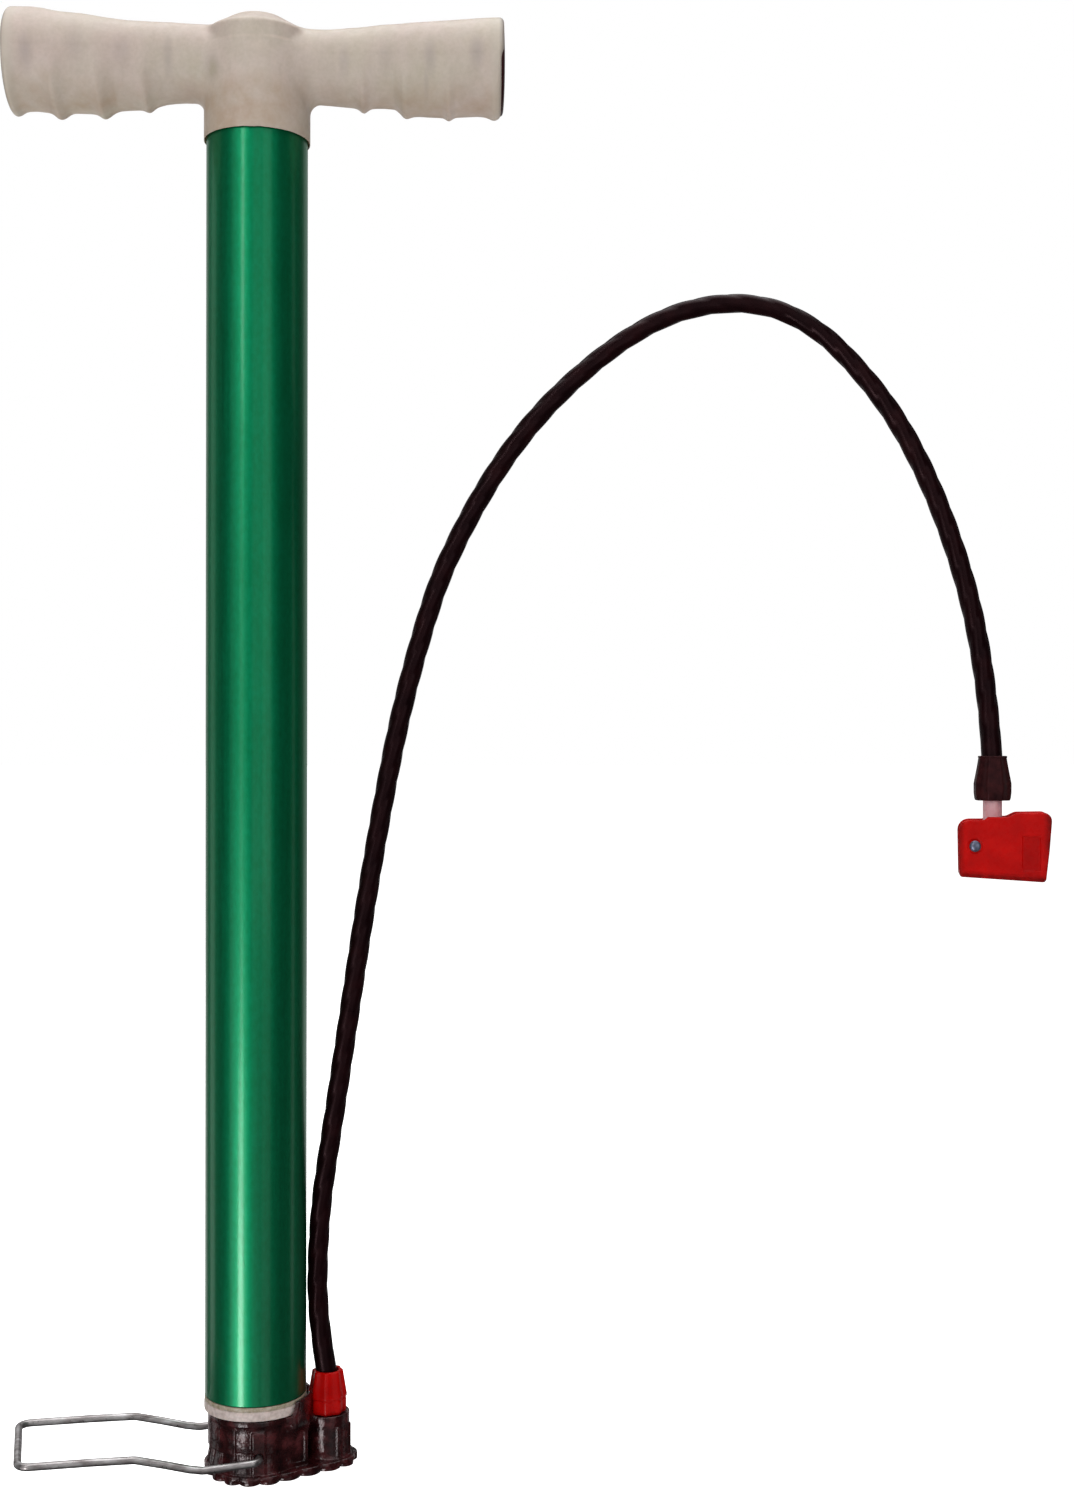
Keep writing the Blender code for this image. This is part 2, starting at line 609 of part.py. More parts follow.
# eccentric cam keyed on the lever's pin
cam_turn = HEAD @ Matrix.Translation((0, 0, 1.2)) @ Matrix.Rotation(math.pi / 2, 4, "X")
cam = cylinder("head_cam", 3.6, -2.3, 2.3, 36, cam_turn)
cut(cam, cylinder("cam_hole", 1.8, -4.0, 4.0, 20, ACROSS))
finish(cam, "head_cam", "steel", 40.0, origin=PIN)


# lever: a channel open at the top, its cheeks on both sides of the head
def corner(points, radii, steps=5):
    """A closed outline in the lever's plane with rounded corners."""
    out = []
    n = len(points)
    for i in range(n):
        p, r = Vector(points[i]), radii[i]
        if r <= 0.0:
            out.append(tuple(p))
            continue
        a = (Vector(points[i - 1]) - p).normalized()
        b = (Vector(points[(i + 1) % n]) - p).normalized()
        half = 0.5 * a.angle(b)
        middle = p + (a + b).normalized() * (r / math.sin(half))
        start = p + a * (r / math.tan(half)) - middle
        end = p + b * (r / math.tan(half)) - middle
        turn = start.angle(end)
        for k in range(steps + 1):
            t = k / steps
            q = middle + (start * math.sin((1 - t) * turn) + end * math.sin(t * turn)) / math.sin(turn)
            out.append((q.x, q.y))
    return out


LEVER_OUTLINE = (
    (-5.7, -11.6), (25.8, -13.3), (27.1, -1.5), (28.2, 12.9), (15.2, 12.6), (11.9, 11.0),
    (4.6, 11.0), (3.4, 9.9), (-6.1, 9.8))
LEVER_RADII = (1.0, 1.2, 0.0, 3.0, 2.0, 2.0, 0.8, 0.6, 4.5)
lever = prism("head_lever", corner(LEVER_OUTLINE, LEVER_RADII), -8.8, 8.8, ACROSS)
inside = ((-9.0, -9.5), (32.0, -11.7), (32.0, 20.0), (-9.0, 20.0))
cut(lever, prism("lever_room", inside, -7.3, 7.3, ACROSS))
cut(lever, cylinder("lever_hole", 1.8, -10.0, 10.0, 20, ACROSS))
finish(lever, "head_lever", "red_plastic", 35.0, origin=PIN)

pin_profile = [
    (0.0, -9.75), (1.2, -9.65), (2.0, -9.3), (2.1, -9.1), (1.5, -9.1), (1.5, 9.1), (2.1, 9.1),
    (2.0, 9.3), (1.2, 9.65), (0.0, 9.75)]
finish(lathe("head_pin", pin_profile, 16, ACROSS), "head_pin", "steel", 40.0, origin=PIN)

finish(faceted("upper_hose_nut", [
    (6.9, 16.1), (7.1, 16.6), (7.1, 23.2), (6.8, 24.2), (5.3, 33.2), (5.1, 33.9)],
    [(5.0, 15.0, 27.2), (4.35, 26.0, 35.0)], 8, AT_NECK, 0.28),
    "upper_hose_nut", "black_plastic", 25.0)

# ------------------------------------------------- top guide, rod and piston
finish(lathe("top_guide", [
    (4.3, 486.0), (6.5, 486.0), (6.5, 499.0), (15.5, 500.5), (15.5, 487.0), (17.7, 487.0), (17.7, 505.3),
    (18.8, 505.3), (18.8, 506.6), (18.4, 507.0), (4.3, 507.0)], 28), "top_guide", "guide_plastic")

RAISE = (0.0, 0.0, 55.0)
finish(lathe("piston_cup", [
    (3.3, 50.3), (15.6, 50.3), (16.4, 49.5), (16.5, 43.2), (17.6, 43.2), (17.7, 52.0), (16.7, 53.0),
    (3.3, 53.0)], 28), "piston_cup", "cup_rubber", 35.0, origin=RAISE)
finish(lathe("piston_rod", [
    (0.0, 42.6), (2.6, 42.6), (STUB_R, 43.0), (STUB_R, ROD_SHOULDER), (ROD_R, ROD_SHOULDER),
    (ROD_R, ROD_TOP - 0.6), (ROD_R - 0.6, ROD_TOP), (0.0, ROD_TOP)], 24), "piston_rod", "steel",
    origin=RAISE)
finish(ring_shape("piston_top_washer", 3.3, 14.5, 53.3, 54.8, 28), "piston_top_washer", "zinc",
       origin=RAISE)
finish(ring_shape("piston_spreader", 3.3, 12.0, 48.9, 50.0, 24), "piston_spreader", "zinc",
       origin=RAISE)


def hex_nut(name, across, bore, z0, z1):
    r = across / math.sqrt(3.0)
    nut = loft(name, [
        [(x, y, z0) for x, y in circle(r * 0.96, 6)], [(x, y, z0 + 0.4) for x, y in circle(r, 6)],
        [(x, y, z1 - 0.4) for x, y in circle(r, 6)], [(x, y, z1) for x, y in circle(r * 0.96, 6)]])
    return cut(nut, cylinder(name + "_bore", bore, z0 - 1.0, z1 + 1.0, 18))


finish(hex_nut("piston_nut", 10.0, 3.3, 44.0, 48.6), "piston_nut", "zinc", 20.0, origin=RAISE)

# ------------------------------------------------------------------ the handle
finish(ring_shape("handle_bumper", 4.3, 7.2, 507.4, 511.2, 24), "handle_bumper", "rubber",
       origin=(0.0, 0.0, GRIP_Z))
finish(ring_shape("handle_washer", 4.3, 7.5, 511.5, 513.0, 24), "handle_washer", "zinc",
       origin=(0.0, 0.0, GRIP_Z))
finish(hex_nut("rod_lock_nut", 13.0, 4.3, 513.3, 518.3), "rod_lock_nut", "zinc", 20.0,
       origin=(0.0, 0.0, GRIP_Z))

GRIP_TOP = ((0.0, 13.2), (17.0, 13.3), (29.5, 13.6), (47.0, 14.8), (64.5, 16.4), (77.0, 18.0),
            (84.0, 18.9), (88.5, 19.1), (90.3, 18.6))
GRIP_LOW = ((0.0, 14.2), (22.0, 14.4), (36.0, 14.6), (41.0, 15.3), (47.0, 16.6), (53.0, 18.0),
            (60.0, 18.2), (80.0, 18.1), (88.0, 18.1), (90.3, 17.6))
RIDGES = ((38.9, 1.6, 2.1), (54.8, 1.2, 2.1), (71.7, 1.5, 2.1), (87.2, 1.2, 1.9))


def read(table, x):
    """Linear reading of a table of (x, value) pairs."""
    for (x0, y0), (x1, y1) in zip(table, table[1:]):
        if x <= x1:
            return y0 + (y1 - y0) * (x - x0) / (x1 - x0)
    return table[-1][1]


def grip_ring(x, segments=20):
    """One section across the grip: round above, with finger ridges below."""
    ax = abs(x)
    top, low = read(GRIP_TOP, ax), read(GRIP_LOW, ax)
    ridge = sum(h * math.exp(-((ax - at) / w) ** 2) for at, h, w in RIDGES)
    wide = 0.5 * (top + low) * 0.99
    ring = []
    for k in range(segments):
        ang = 2.0 * math.pi * k / segments
        s, c = math.sin(ang), math.cos(ang)
        under = max(0.0, -s) ** 0.8
        ring.append((x, (wide + 0.5 * ridge * under) * c,
                     (top if s >= 0 else low) * s - ridge * under * abs(s) ** 0.3 * (1 if s < 0 else 0)))
    return ring


half = [20.0, 30.0, 36.2, 38.9, 41.6, 47.0, 52.1, 54.8, 57.5, 64.0, 69.0,
        71.7, 74.4, 81.0, 84.6, 87.2, 89.3, GRIP_HALF]
stations = [-x for x in reversed(half)] + half
TURN = Matrix.Translation((0, 0, GRIP_Z)) @ Matrix.Rotation(math.radians(HANDLE_YAW), 4, "Z")
handle = loft("handle", [grip_ring(x) for x in stations], TURN)
DOME_Z = DOME_TOP - DOME_R
hub_edge = DOME_Z + math.sqrt(DOME_R ** 2 - HUB_R ** 2)
dome = []
for k in range(7):
    t = math.asin(HUB_R / DOME_R) * (1 - k / 6)
    dome.append((DOME_R * math.sin(t) if k < 6 else 0.0, DOME_Z + DOME_R * math.cos(t)))
fuse(handle, lathe("hub", [(0.0, HUB_BOTTOM + 6.0), (HUB_R - 0.2, HUB_BOTTOM + 6.0), (HUB_R, HUB_BOTTOM + 8.0)]
                   + dome, 36))
fuse(handle, lathe("skirt", [(0.0, HUB_BOTTOM), (HUB_R - 0.15, HUB_BOTTOM), (HUB_R, HUB_BOTTOM + 0.5),
                             (HUB_R, HUB_BOTTOM + 10.0), (0.0, HUB_BOTTOM + 10.0)], 36))
cut(handle, lathe("tube_room", [
    (0.0, HUB_BOTTOM - 1.0), (TUBE_R + 0.35, HUB_BOTTOM - 1.0), (TUBE_R + 0.35, 507.3), (8.0, 507.3),
    (8.0, 518.6), (4.3, 518.6), (4.3, 528.5), (0.0, 528.5)], 32))
for side in (-1.0, 1.0):
    hollow = TURN @ Matrix.Rotation(side * math.pi / 2, 4, "Y")
    cut(handle, lathe("hollow", [
        (0.0, 34.0), (11.2, 34.0), (12.0, 36.0), (16.8, 92.0), (16.9, 95.0), (0.0, 95.0)], 20, hollow))
finish(handle, "handle", "handle_plastic", 40.0, origin=(0.0, 0.0, GRIP_Z))

# thin plugs that close the two hollow grips, each with a skirt inside and a flange outside
for side, name in ((-1.0, "grip_plug_left"), (1.0, "grip_plug_right")):
    finish(lathe(name, [
        (0.0, 88.8), (14.0, 88.8), (13.6, 83.0), (15.4, 83.0), (16.05, 89.9), (16.05, GRIP_HALF + 0.3),
        (16.9, GRIP_HALF + 0.3), (17.0, PLUG_OUT - 0.9), (16.6, PLUG_OUT - 0.4), (12.0, PLUG_OUT - 0.1),
        (0.0, PLUG_OUT)], 28, TURN @ Matrix.Rotation(side * math.pi / 2, 4, "Y")),
        name, "black_plastic", 35.0, origin=(0.0, 0.0, GRIP_Z))
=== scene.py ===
import math

import bmesh
import bpy
import numpy as np
from mathutils import Matrix, Vector


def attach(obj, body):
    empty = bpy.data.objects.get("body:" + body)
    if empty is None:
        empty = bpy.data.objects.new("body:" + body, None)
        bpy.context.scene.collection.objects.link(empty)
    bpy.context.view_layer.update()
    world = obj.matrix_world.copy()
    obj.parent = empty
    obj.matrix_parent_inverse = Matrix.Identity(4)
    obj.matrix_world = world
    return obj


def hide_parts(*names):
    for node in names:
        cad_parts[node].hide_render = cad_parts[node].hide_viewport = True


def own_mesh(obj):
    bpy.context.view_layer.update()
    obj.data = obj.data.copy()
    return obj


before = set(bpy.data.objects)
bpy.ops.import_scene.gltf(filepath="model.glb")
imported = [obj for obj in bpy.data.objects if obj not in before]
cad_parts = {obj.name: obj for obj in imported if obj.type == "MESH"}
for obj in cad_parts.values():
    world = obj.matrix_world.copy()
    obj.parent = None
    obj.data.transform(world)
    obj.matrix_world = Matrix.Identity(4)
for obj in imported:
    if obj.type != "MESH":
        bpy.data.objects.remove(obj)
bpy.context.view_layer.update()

MM = 0.001
YAW = math.radians(-12.0)        # the upright plane in which the hose arches
RIGHT = Vector((math.cos(YAW), math.sin(YAW), 0.0))
AWAY = Vector((-math.sin(YAW), math.cos(YAW), 0.0))


def in_hose_plane(side, depth, z):
    return RIGHT * side + AWAY * depth + Vector((0.0, 0.0, z))


NECK_U = 6.7
HEAD_YAW = math.radians(-23.0)   # the valve head has turned on its hose a little
HEAD = (Matrix.Translation(in_hose_plane(277.0, 12.0, 230.5)) @ Matrix.Rotation(HEAD_YAW, 4, "Z")
        @ Matrix.Translation((-NECK_U, 0.0, 0.0)))
OUTLET_X = 26.7
GRIP_Z = 521.4
HANDLE_YAW = math.radians(-9.5)

# ------------------------------------------------------------------ the camera
cam_data = bpy.data.cameras.new("camera")
cam_data.lens = 44.4
cam_data.sensor_width = 36.0
cam_data.clip_start, cam_data.clip_end = 0.01, 50.0
camera = bpy.data.objects.new("camera", cam_data)
camera.location = (-0.0411, -0.6956, 0.2664)
camera.rotation_euler = (math.radians(90.0), math.radians(-0.07), YAW)
bpy.context.scene.collection.objects.link(camera)
bpy.context.scene.camera = camera


# -------------------------------------------------------------- mesh tool kit
def add_mesh(name, co, faces, matrix=None, smooth=40.0):
    """An object from an (n, 3) array in millimetres and an (m, 4) or (m, 3) array of faces."""
    co = np.asarray(co, float) * MM
    faces = np.asarray(faces, np.int32)
    sides = faces.shape[1]
    mesh = bpy.data.meshes.new(name)
    mesh.vertices.add(len(co))
    mesh.vertices.foreach_set("co", co.astype(np.float32).ravel())
    mesh.loops.add(faces.size)
    mesh.loops.foreach_set("vertex_index", faces.ravel())
    mesh.polygons.add(len(faces))
    mesh.polygons.foreach_set("loop_start", np.arange(0, faces.size, sides, dtype=np.int32))
    mesh.polygons.foreach_set("loop_total", np.full(len(faces), sides, np.int32))
    mesh.update(calc_edges=True)
    mesh.validate()
    if matrix is not None:
        m = matrix.copy()
        m.translation = matrix.translation * MM
        mesh.transform(m)
    mesh.shade_smooth()
    if smooth:
        mesh.set_sharp_from_angle(angle=math.radians(smooth))
    obj = bpy.data.objects.new(name, mesh)
    bpy.context.scene.collection.objects.link(obj)
    return obj


def nets(name, field, lo, hi, cell, matrix=None, smooth=0.0, settle=3, bend=None):
    """The zero level of a distance field, in millimetres, as a mesh of quads (surface nets).

    bend maps the even grid to real places, so that thin walls get more cells."""
    bend = bend or (lambda x, y, z: (x, y, z))
    lo = np.array(lo, float) - cell * 1.37
    n = [int(math.ceil((h + cell * 1.37 - l) / cell)) + 1 for l, h in zip(lo, hi)]
    ax = [lo[k] + cell * np.arange(n[k]) for k in range(3)]
    v = np.empty(n, np.float32)
    step = max(1, int(1.2e6 / (n[1] * n[2])))
    for a in range(0, n[0], step):
        X, Y, Z = np.meshgrid(ax[0][a:a + step], ax[1], ax[2], indexing="ij")
        v[a:a + step] = field(*bend(X, Y, Z))
    inside = v < 0.0
    total = np.zeros([k - 1 for k in n], np.int8)
    corners = [(i, j, k) for i in (0, 1) for j in (0, 1) for k in (0, 1)]
    for i, j, k in corners:
        total += inside[i:n[0] - 1 + i, j:n[1] - 1 + j, k:n[2] - 1 + k]
    cells = np.argwhere((total > 0) & (total < 8))
    index = np.full(total.shape, -1, np.int32)
    index[tuple(cells.T)] = np.arange(len(cells))
    val = {c: v[cells[:, 0] + c[0], cells[:, 1] + c[1], cells[:, 2] + c[2]].astype(float)
           for c in corners}
    acc = np.zeros((len(cells), 3))
    hits = np.zeros(len(cells))
    for a in corners:
        for d in range(3):
            if a[d] == 0:
                b = tuple(1 if k == d else a[k] for k in range(3))
                va, vb = val[a], val[b]
                cross = (va < 0) != (vb < 0)
                t = np.where(cross, va / np.where(cross, va - vb, 1.0), 0.0)
                for k in range(3):
                    acc[:, k] += np.where(cross, (t if k == d else a[k]), 0.0)
                hits += cross
    co = lo + (cells + acc / hits[:, None]) * cell
    co = np.stack(bend(*co.T), 1)
    quads = []
    for d in range(3):
        e, f = [(1, 2), (2, 0), (0, 1)][d]
        a = [slice(None)] * 3
        b = [slice(None)] * 3
        a[d], b[d] = slice(0, n[d] - 1), slice(1, n[d])
        change = inside[tuple(a)] != inside[tuple(b)]
        at = np.argwhere(change)
        at = at[(at[:, e] > 0) & (at[:, f] > 0) & (at[:, e] < n[e] - 1) & (at[:, f] < n[f] - 1)]
        one = np.zeros(3, int)
        two = np.zeros(3, int)
        one[e], two[f] = 1, 1
        q = np.stack([index[tuple((at - one - two).T)], index[tuple((at - two).T)],
                      index[tuple(at.T)], index[tuple((at - one).T)]], 1)
        low_in = inside[tuple(at.T)]
        q[~low_in] = q[~low_in][:, ::-1]
        quads.append(q)
    quads = np.concatenate(quads)
    quads = quads[(quads >= 0).all(1)]
    for _ in range(settle):
        # let each point slide onto the true surface
        h = 0.15 * cell
        x, y, z = co.T
        g = np.stack([field(x + h, y, z) - field(x - h, y, z),
                      field(x, y + h, z) - field(x, y - h, z),
                      field(x, y, z + h) - field(x, y, z - h)], 1) / (2 * h)
        g2 = (g * g).sum(1)
        move = -(field(x, y, z) / np.maximum(g2, 0.2))[:, None] * g
        far = np.linalg.norm(move, axis=1)
        co = co + move * np.minimum(1.0, 0.3 * cell / np.maximum(far, 1e-9))[:, None]
    return add_mesh(name, co, quads, matrix, smooth)


def join(a, b, r):
    """Union of two fields with a round fillet."""
    return np.maximum(r, np.minimum(a, b)) - np.hypot(np.maximum(r - a, 0), np.maximum(r - b, 0))


def keep(a, b, r):
    """Where both fields are solid, with the edge rounded."""
    return np.minimum(-r, np.maximum(a, b)) + np.hypot(np.maximum(r + a, 0), np.maximum(r + b, 0))


def carve(a, b, r):
    """The first field less the second, with the edge rounded."""
    return keep(a, -b, r)


def step01(t):
    t = np.clip(t, 0.0, 1.0)
    return t * t * (3 - 2 * t)


def table(values):
    xs, ys = zip(*values)
    return lambda x: np.interp(x, xs, ys)


def slab(x, a, b):
    return np.maximum(a - x, x - b)


def block(x, y, z, x0, x1, y0, y1, z0, z1, r):
    """A box with rounded edges."""
    dx, dy, dz = (np.abs(x - (x0 + x1) / 2) - (x1 - x0) / 2 + r,
                  np.abs(y - (y0 + y1) / 2) - (y1 - y0) / 2 + r,
                  np.abs(z - (z0 + z1) / 2) - (z1 - z0) / 2 + r)
    out = np.sqrt(np.maximum(dx, 0) ** 2 + np.maximum(dy, 0) ** 2 + np.maximum(dz, 0) ** 2)
    return out + np.minimum(np.maximum(np.maximum(dx, dy), dz), 0) - r


def polygon(px, py, points):
    """Signed distance to a closed polygon, negative inside."""
    d = np.full(np.shape(px), 1e9)
    s = np.ones(np.shape(px))
    n = len(points)
    for i in range(n):
        ax, ay = points[i]
        bx, by = points[i - 1]
        ex, ey = bx - ax, by - ay
        wx, wy = px - ax, py - ay
        t = np.clip((wx * ex + wy * ey) / (ex * ex + ey * ey), 0, 1)
        d = np.minimum(d, (wx - ex * t) ** 2 + (wy - ey * t) ** 2)
        c1, c2, c3 = py >= ay, py < by, ex * wy > ey * wx
        flip = (c1 & c2 & c3) | (~c1 & ~c2 & ~c3)
        s = np.where(flip, -s, s)
    return s * np.sqrt(d)


def lathe(name, profile, segments=128, matrix=None, smooth=35.0):
    """Turn a closed profile of (radius, height) points once round Z, in millimetres."""
    pts = np.array(profile, float)
    k = len(pts)
    ang = 2 * np.pi * np.arange(segments) / segments
    co = np.stack([np.outer(np.cos(ang), pts[:, 0]), np.outer(np.sin(ang), pts[:, 0]),
                   np.tile(pts[:, 1], (segments, 1))], 2).reshape(-1, 3)
    i, j = np.meshgrid(np.arange(segments), np.arange(k), indexing="ij")
    i2, j2 = (i + 1) % segments, (j + 1) % k
    faces = np.stack([i * k + j, i2 * k + j, i2 * k + j2, i * k + j2], 2).reshape(-1, 4)
    mesh_faces = faces
    obj = add_mesh(name, co, mesh_faces, None, 0.0)
    bm = bmesh.new()
    bm.from_mesh(obj.data)
    bmesh.ops.remove_doubles(bm, verts=bm.verts, dist=1e-7)
    bmesh.ops.dissolve_degenerate(bm, dist=1e-8, edges=bm.edges)
    bmesh.ops.recalc_face_normals(bm, faces=bm.faces)
    if bm.calc_volume(signed=True) < 0:
        bmesh.ops.reverse_faces(bm, faces=bm.faces)
    if matrix is not None:
        m = matrix.copy()
        m.translation = matrix.translation * MM
        bm.transform(m)
    bm.to_mesh(obj.data)
    bm.free()
    obj.data.shade_smooth()
    obj.data.set_sharp_from_angle(angle=math.radians(smooth))
    return obj


def rounded(points, radii, steps=5):
    """A closed outline of 2-D points with arcs for corners."""
    out = []
    n = len(points)
    for i in range(n):
        p, r = Vector(points[i]), radii[i] if hasattr(radii, "__len__") else radii
        a = Vector(points[i - 1]) - p
        b = Vector(points[(i + 1) % n]) - p
        if r <= 0.0 or a.length < 1e-9 or b.length < 1e-9:
            out.append(tuple(p))
            continue
        la, lb = a.length, b.length
        a, b = a / la, b / lb
        half = 0.5 * a.angle(b)
        if half > math.radians(88.0):
            out.append(tuple(p))
            continue
        r = min(r, 0.45 * min(la, lb) * math.tan(half))
        middle = p + (a + b).normalized() * (r / math.sin(half))
        start = p + a * (r / math.tan(half)) - middle
        end = p + b * (r / math.tan(half)) - middle
        turn = start.angle(end)
        for k in range(steps + 1):
            t = k / steps
            q = middle + (start * math.sin((1 - t) * turn) + end * math.sin(t * turn)) / math.sin(turn)
            out.append((q.x, q.y))
    return out


def tube_mesh(name, path, radius, segments=24, caps=True, shape=None, smooth=50.0):
    """A tube round a dense path of points in millimetres; shape(s, angle) scales the radius."""
    p = np.array([list(q) for q in path], float)
    n = len(p)
    t = np.gradient(p, axis=0)
    t /= np.linalg.norm(t, axis=1)[:, None]
    u = np.cross(t[0], [0.3, -0.9, 0.31])
    u /= np.linalg.norm(u)
    us = [u]
    for i in range(1, n):
        u = us[-1] - t[i] * (us[-1] @ t[i])
        us.append(u / np.linalg.norm(u))
    us = np.array(us)
    vs = np.cross(t, us)
    run = np.concatenate([[0], np.cumsum(np.linalg.norm(np.diff(p, axis=0), axis=1))])
    ang = 2 * np.pi * np.arange(segments) / segments
    S, A = np.meshgrid(run, ang, indexing="ij")
    r = radius * (shape(S, A) if shape else np.ones_like(S))
    co = (p[:, None, :] + us[:, None, :] * (r * np.cos(A))[:, :, None]
          + vs[:, None, :] * (r * np.sin(A))[:, :, None])
    i, j = np.meshgrid(np.arange(n - 1), np.arange(segments), indexing="ij")
    j2 = (j + 1) % segments
    faces = np.stack([i * segments + j, i * segments + j2, (i + 1) * segments + j2,
                      (i + 1) * segments + j], 2).reshape(-1, 4)
    co = co.reshape(-1, 3)
    obj = add_mesh(name, co, faces, None, 0.0)
    bm = bmesh.new()
    bm.from_mesh(obj.data)
    bm.verts.ensure_lookup_table()
    if caps:
        bm.faces.new([bm.verts[k] for k in reversed(range(segments))])
        bm.faces.new([bm.verts[(n - 1) * segments + k] for k in range(segments)])
    bmesh.ops.recalc_face_normals(bm, faces=bm.faces)
    if bm.calc_volume(signed=True) < 0:
        bmesh.ops.reverse_faces(bm, faces=bm.faces)
    bm.to_mesh(obj.data)
    bm.free()
    obj.data.shade_smooth()
    obj.data.set_sharp_from_angle(angle=math.radians(smooth))
    return obj


def smooth_path(points, spacing):
    """Evenly spaced points on a relaxed Catmull-Rom curve through the given ones."""
    pts = [Vector(p) for p in points]
    ends = [pts[0] * 2 - pts[1]] + pts + [pts[-1] * 2 - pts[-2]]
    dense = []
    for i in range(1, len(ends) - 2):
        a, b, c, d = ends[i - 1], ends[i], ends[i + 1], ends[i + 2]
        for k in range(16):
            t = k / 16.0
            dense.append(0.5 * ((2 * b) + (c - a) * t + (2 * a - 5 * b + 4 * c - d) * t * t
                                + (3 * b - a - 3 * c + d) * t ** 3))
    dense.append(pts[-1])
    for _ in range(60):
        dense = ([dense[0], dense[1]]
                 + [(dense[i - 1] + dense[i] * 2 + dense[i + 1]) / 4.0
                    for i in range(2, len(dense) - 2)]
                 + [dense[-2], dense[-1]])
    run = [0.0]
    for p, q in zip(dense, dense[1:]):
        run.append(run[-1] + (q - p).length)
    steps = max(2, round(run[-1] / spacing))
    out, j = [], 0
    for k in range(steps + 1):
        want = run[-1] * k / steps
        while j < len(run) - 2 and run[j + 1] < want:
            j += 1
        span = run[j + 1] - run[j]
        t = 0.0 if span == 0.0 else (want - run[j]) / span
        out.append(dense[j].lerp(dense[j + 1], min(1.0, max(0.0, t))))
    return out


# ------------------------------------------------------------ material tool kit
class Paint:
    """A Principled material and a few short ways to add nodes to it."""

    def __init__(self, name, colour, rough, metal=0.0, **sockets):
        self.mat = bpy.data.materials.new(name)
        self.mat.use_nodes = True
        self.tree = self.mat.node_tree
        self.shader = self.tree.nodes["Principled BSDF"]
        self.set("Base Color", (*colour, 1.0))
        self.set("Roughness", rough)
        self.set("Metallic", metal)
        for key, value in sockets.items():
            self.set(key.replace("_", " "), value)
        self.where = self.tree.nodes.new("ShaderNodeTexCoord").outputs["Object"]
        self.last_normal = None

    def set(self, socket, value):
        self.shader.inputs[socket].default_value = value

    def link(self, out, socket):
        self.tree.links.new(out, self.shader.inputs[socket] if isinstance(socket, str) else socket)

    def node(self, kind, **inputs):
        n = self.tree.nodes.new(kind)
        for key, value in inputs.items():
            socket = n.inputs[int(key[1:])] if key[0] == "_" else n.inputs[key]
            if isinstance(value, bpy.types.NodeSocket):
                self.tree.links.new(value, socket)
            else:
                socket.default_value = value
        return n

    def place(self, scale=(1, 1, 1), turn=(0, 0, 0), shift=(0, 0, 0)):
        """Object coordinates, moved, turned and stretched."""
        n = self.node("ShaderNodeMapping", Vector=self.where, Location=shift, Rotation=turn, Scale=scale)
        return n.outputs["Vector"]

    def noise(self, size_mm, detail=3.0, stretch=(1, 1, 1), rough=0.55, turn=(0, 0, 0), shift=(0, 0, 0)):
        """Noise whose features are about that many millimetres across."""
        at = self.place(tuple(1.0 / s for s in stretch), turn, shift)
        n = self.node("ShaderNodeTexNoise", Vector=at, Scale=1000.0 / size_mm, Detail=detail, Roughness=rough)
        return n.outputs["Fac"]

    def voronoi(self, size_mm, feature="F1", stretch=(1, 1, 1)):
        at = self.place(tuple(1.0 / s for s in stretch))
        n = self.node("ShaderNodeTexVoronoi", Vector=at, Scale=1000.0 / size_mm)
        n.feature = feature
        return n.outputs["Distance"]

    def ramp(self, fac, *stops):
        n = self.node("ShaderNodeValToRGB", Fac=fac)
        ramp = n.color_ramp
        while len(ramp.elements) > len(stops):
            ramp.elements.remove(ramp.elements[-1])
        while len(ramp.elements) < len(stops):
            ramp.elements.new(1.0)
        for e, (pos, col) in zip(ramp.elements, stops):
            e.position = pos
            e.color = (*col, 1.0) if hasattr(col, "__len__") else (col, col, col, 1.0)
        return n.outputs["Color"]

    def span(self, value, a, b, c, d):
        n = self.node("ShaderNodeMapRange", Value=value)
        n.inputs["From Min"].default_value, n.inputs["From Max"].default_value = a, b
        n.inputs["To Min"].default_value, n.inputs["To Max"].default_value = c, d
        return n.outputs["Result"]

    def mix(self, a, b, fac, mode="MIX"):
        n = self.tree.nodes.new("ShaderNodeMix")
        n.data_type = "RGBA"
        n.blend_type = mode
        for socket, value in ((n.inputs[0], fac), (n.inputs[6], a), (n.inputs[7], b)):
            if isinstance(value, bpy.types.NodeSocket):
                self.tree.links.new(value, socket)
            elif hasattr(value, "__len__"):
                socket.default_value = (*value, 1.0)
            else:
                socket.default_value = value
        return n.outputs[2]

    def maths(self, op, a, b=0.0, c=0.0):
        n = self.tree.nodes.new("ShaderNodeMath")
        n.operation = op
        for socket, value in zip(n.inputs, (a, b, c)):
            if isinstance(value, bpy.types.NodeSocket):
                self.tree.links.new(value, socket)
            else:
                socket.default_value = value
        return n.outputs[0]

    def xyz(self):
        n = self.node("ShaderNodeSeparateXYZ", Vector=self.where)
        return n.outputs[0], n.outputs[1], n.outputs[2]

    def bump(self, height, depth_mm, strength=1.0):
        """Bump on top of any bump that is already there."""
        n = self.node("ShaderNodeBump", Height=height, Strength=strength, Distance=depth_mm * MM)
        if self.last_normal is not None:
            self.tree.links.new(self.last_normal, n.inputs["Normal"])
        self.last_normal = n.outputs["Normal"]
        self.link(self.last_normal, "Normal")
        return self


def srgb(r, g, b):
    """A colour given as 0-255 screen values, as linear light."""
    return tuple((c / 255 / 12.92) if c / 255 <= 0.04045 else ((c / 255 + 0.055) / 1.055) ** 2.4
                 for c in (r, g, b))


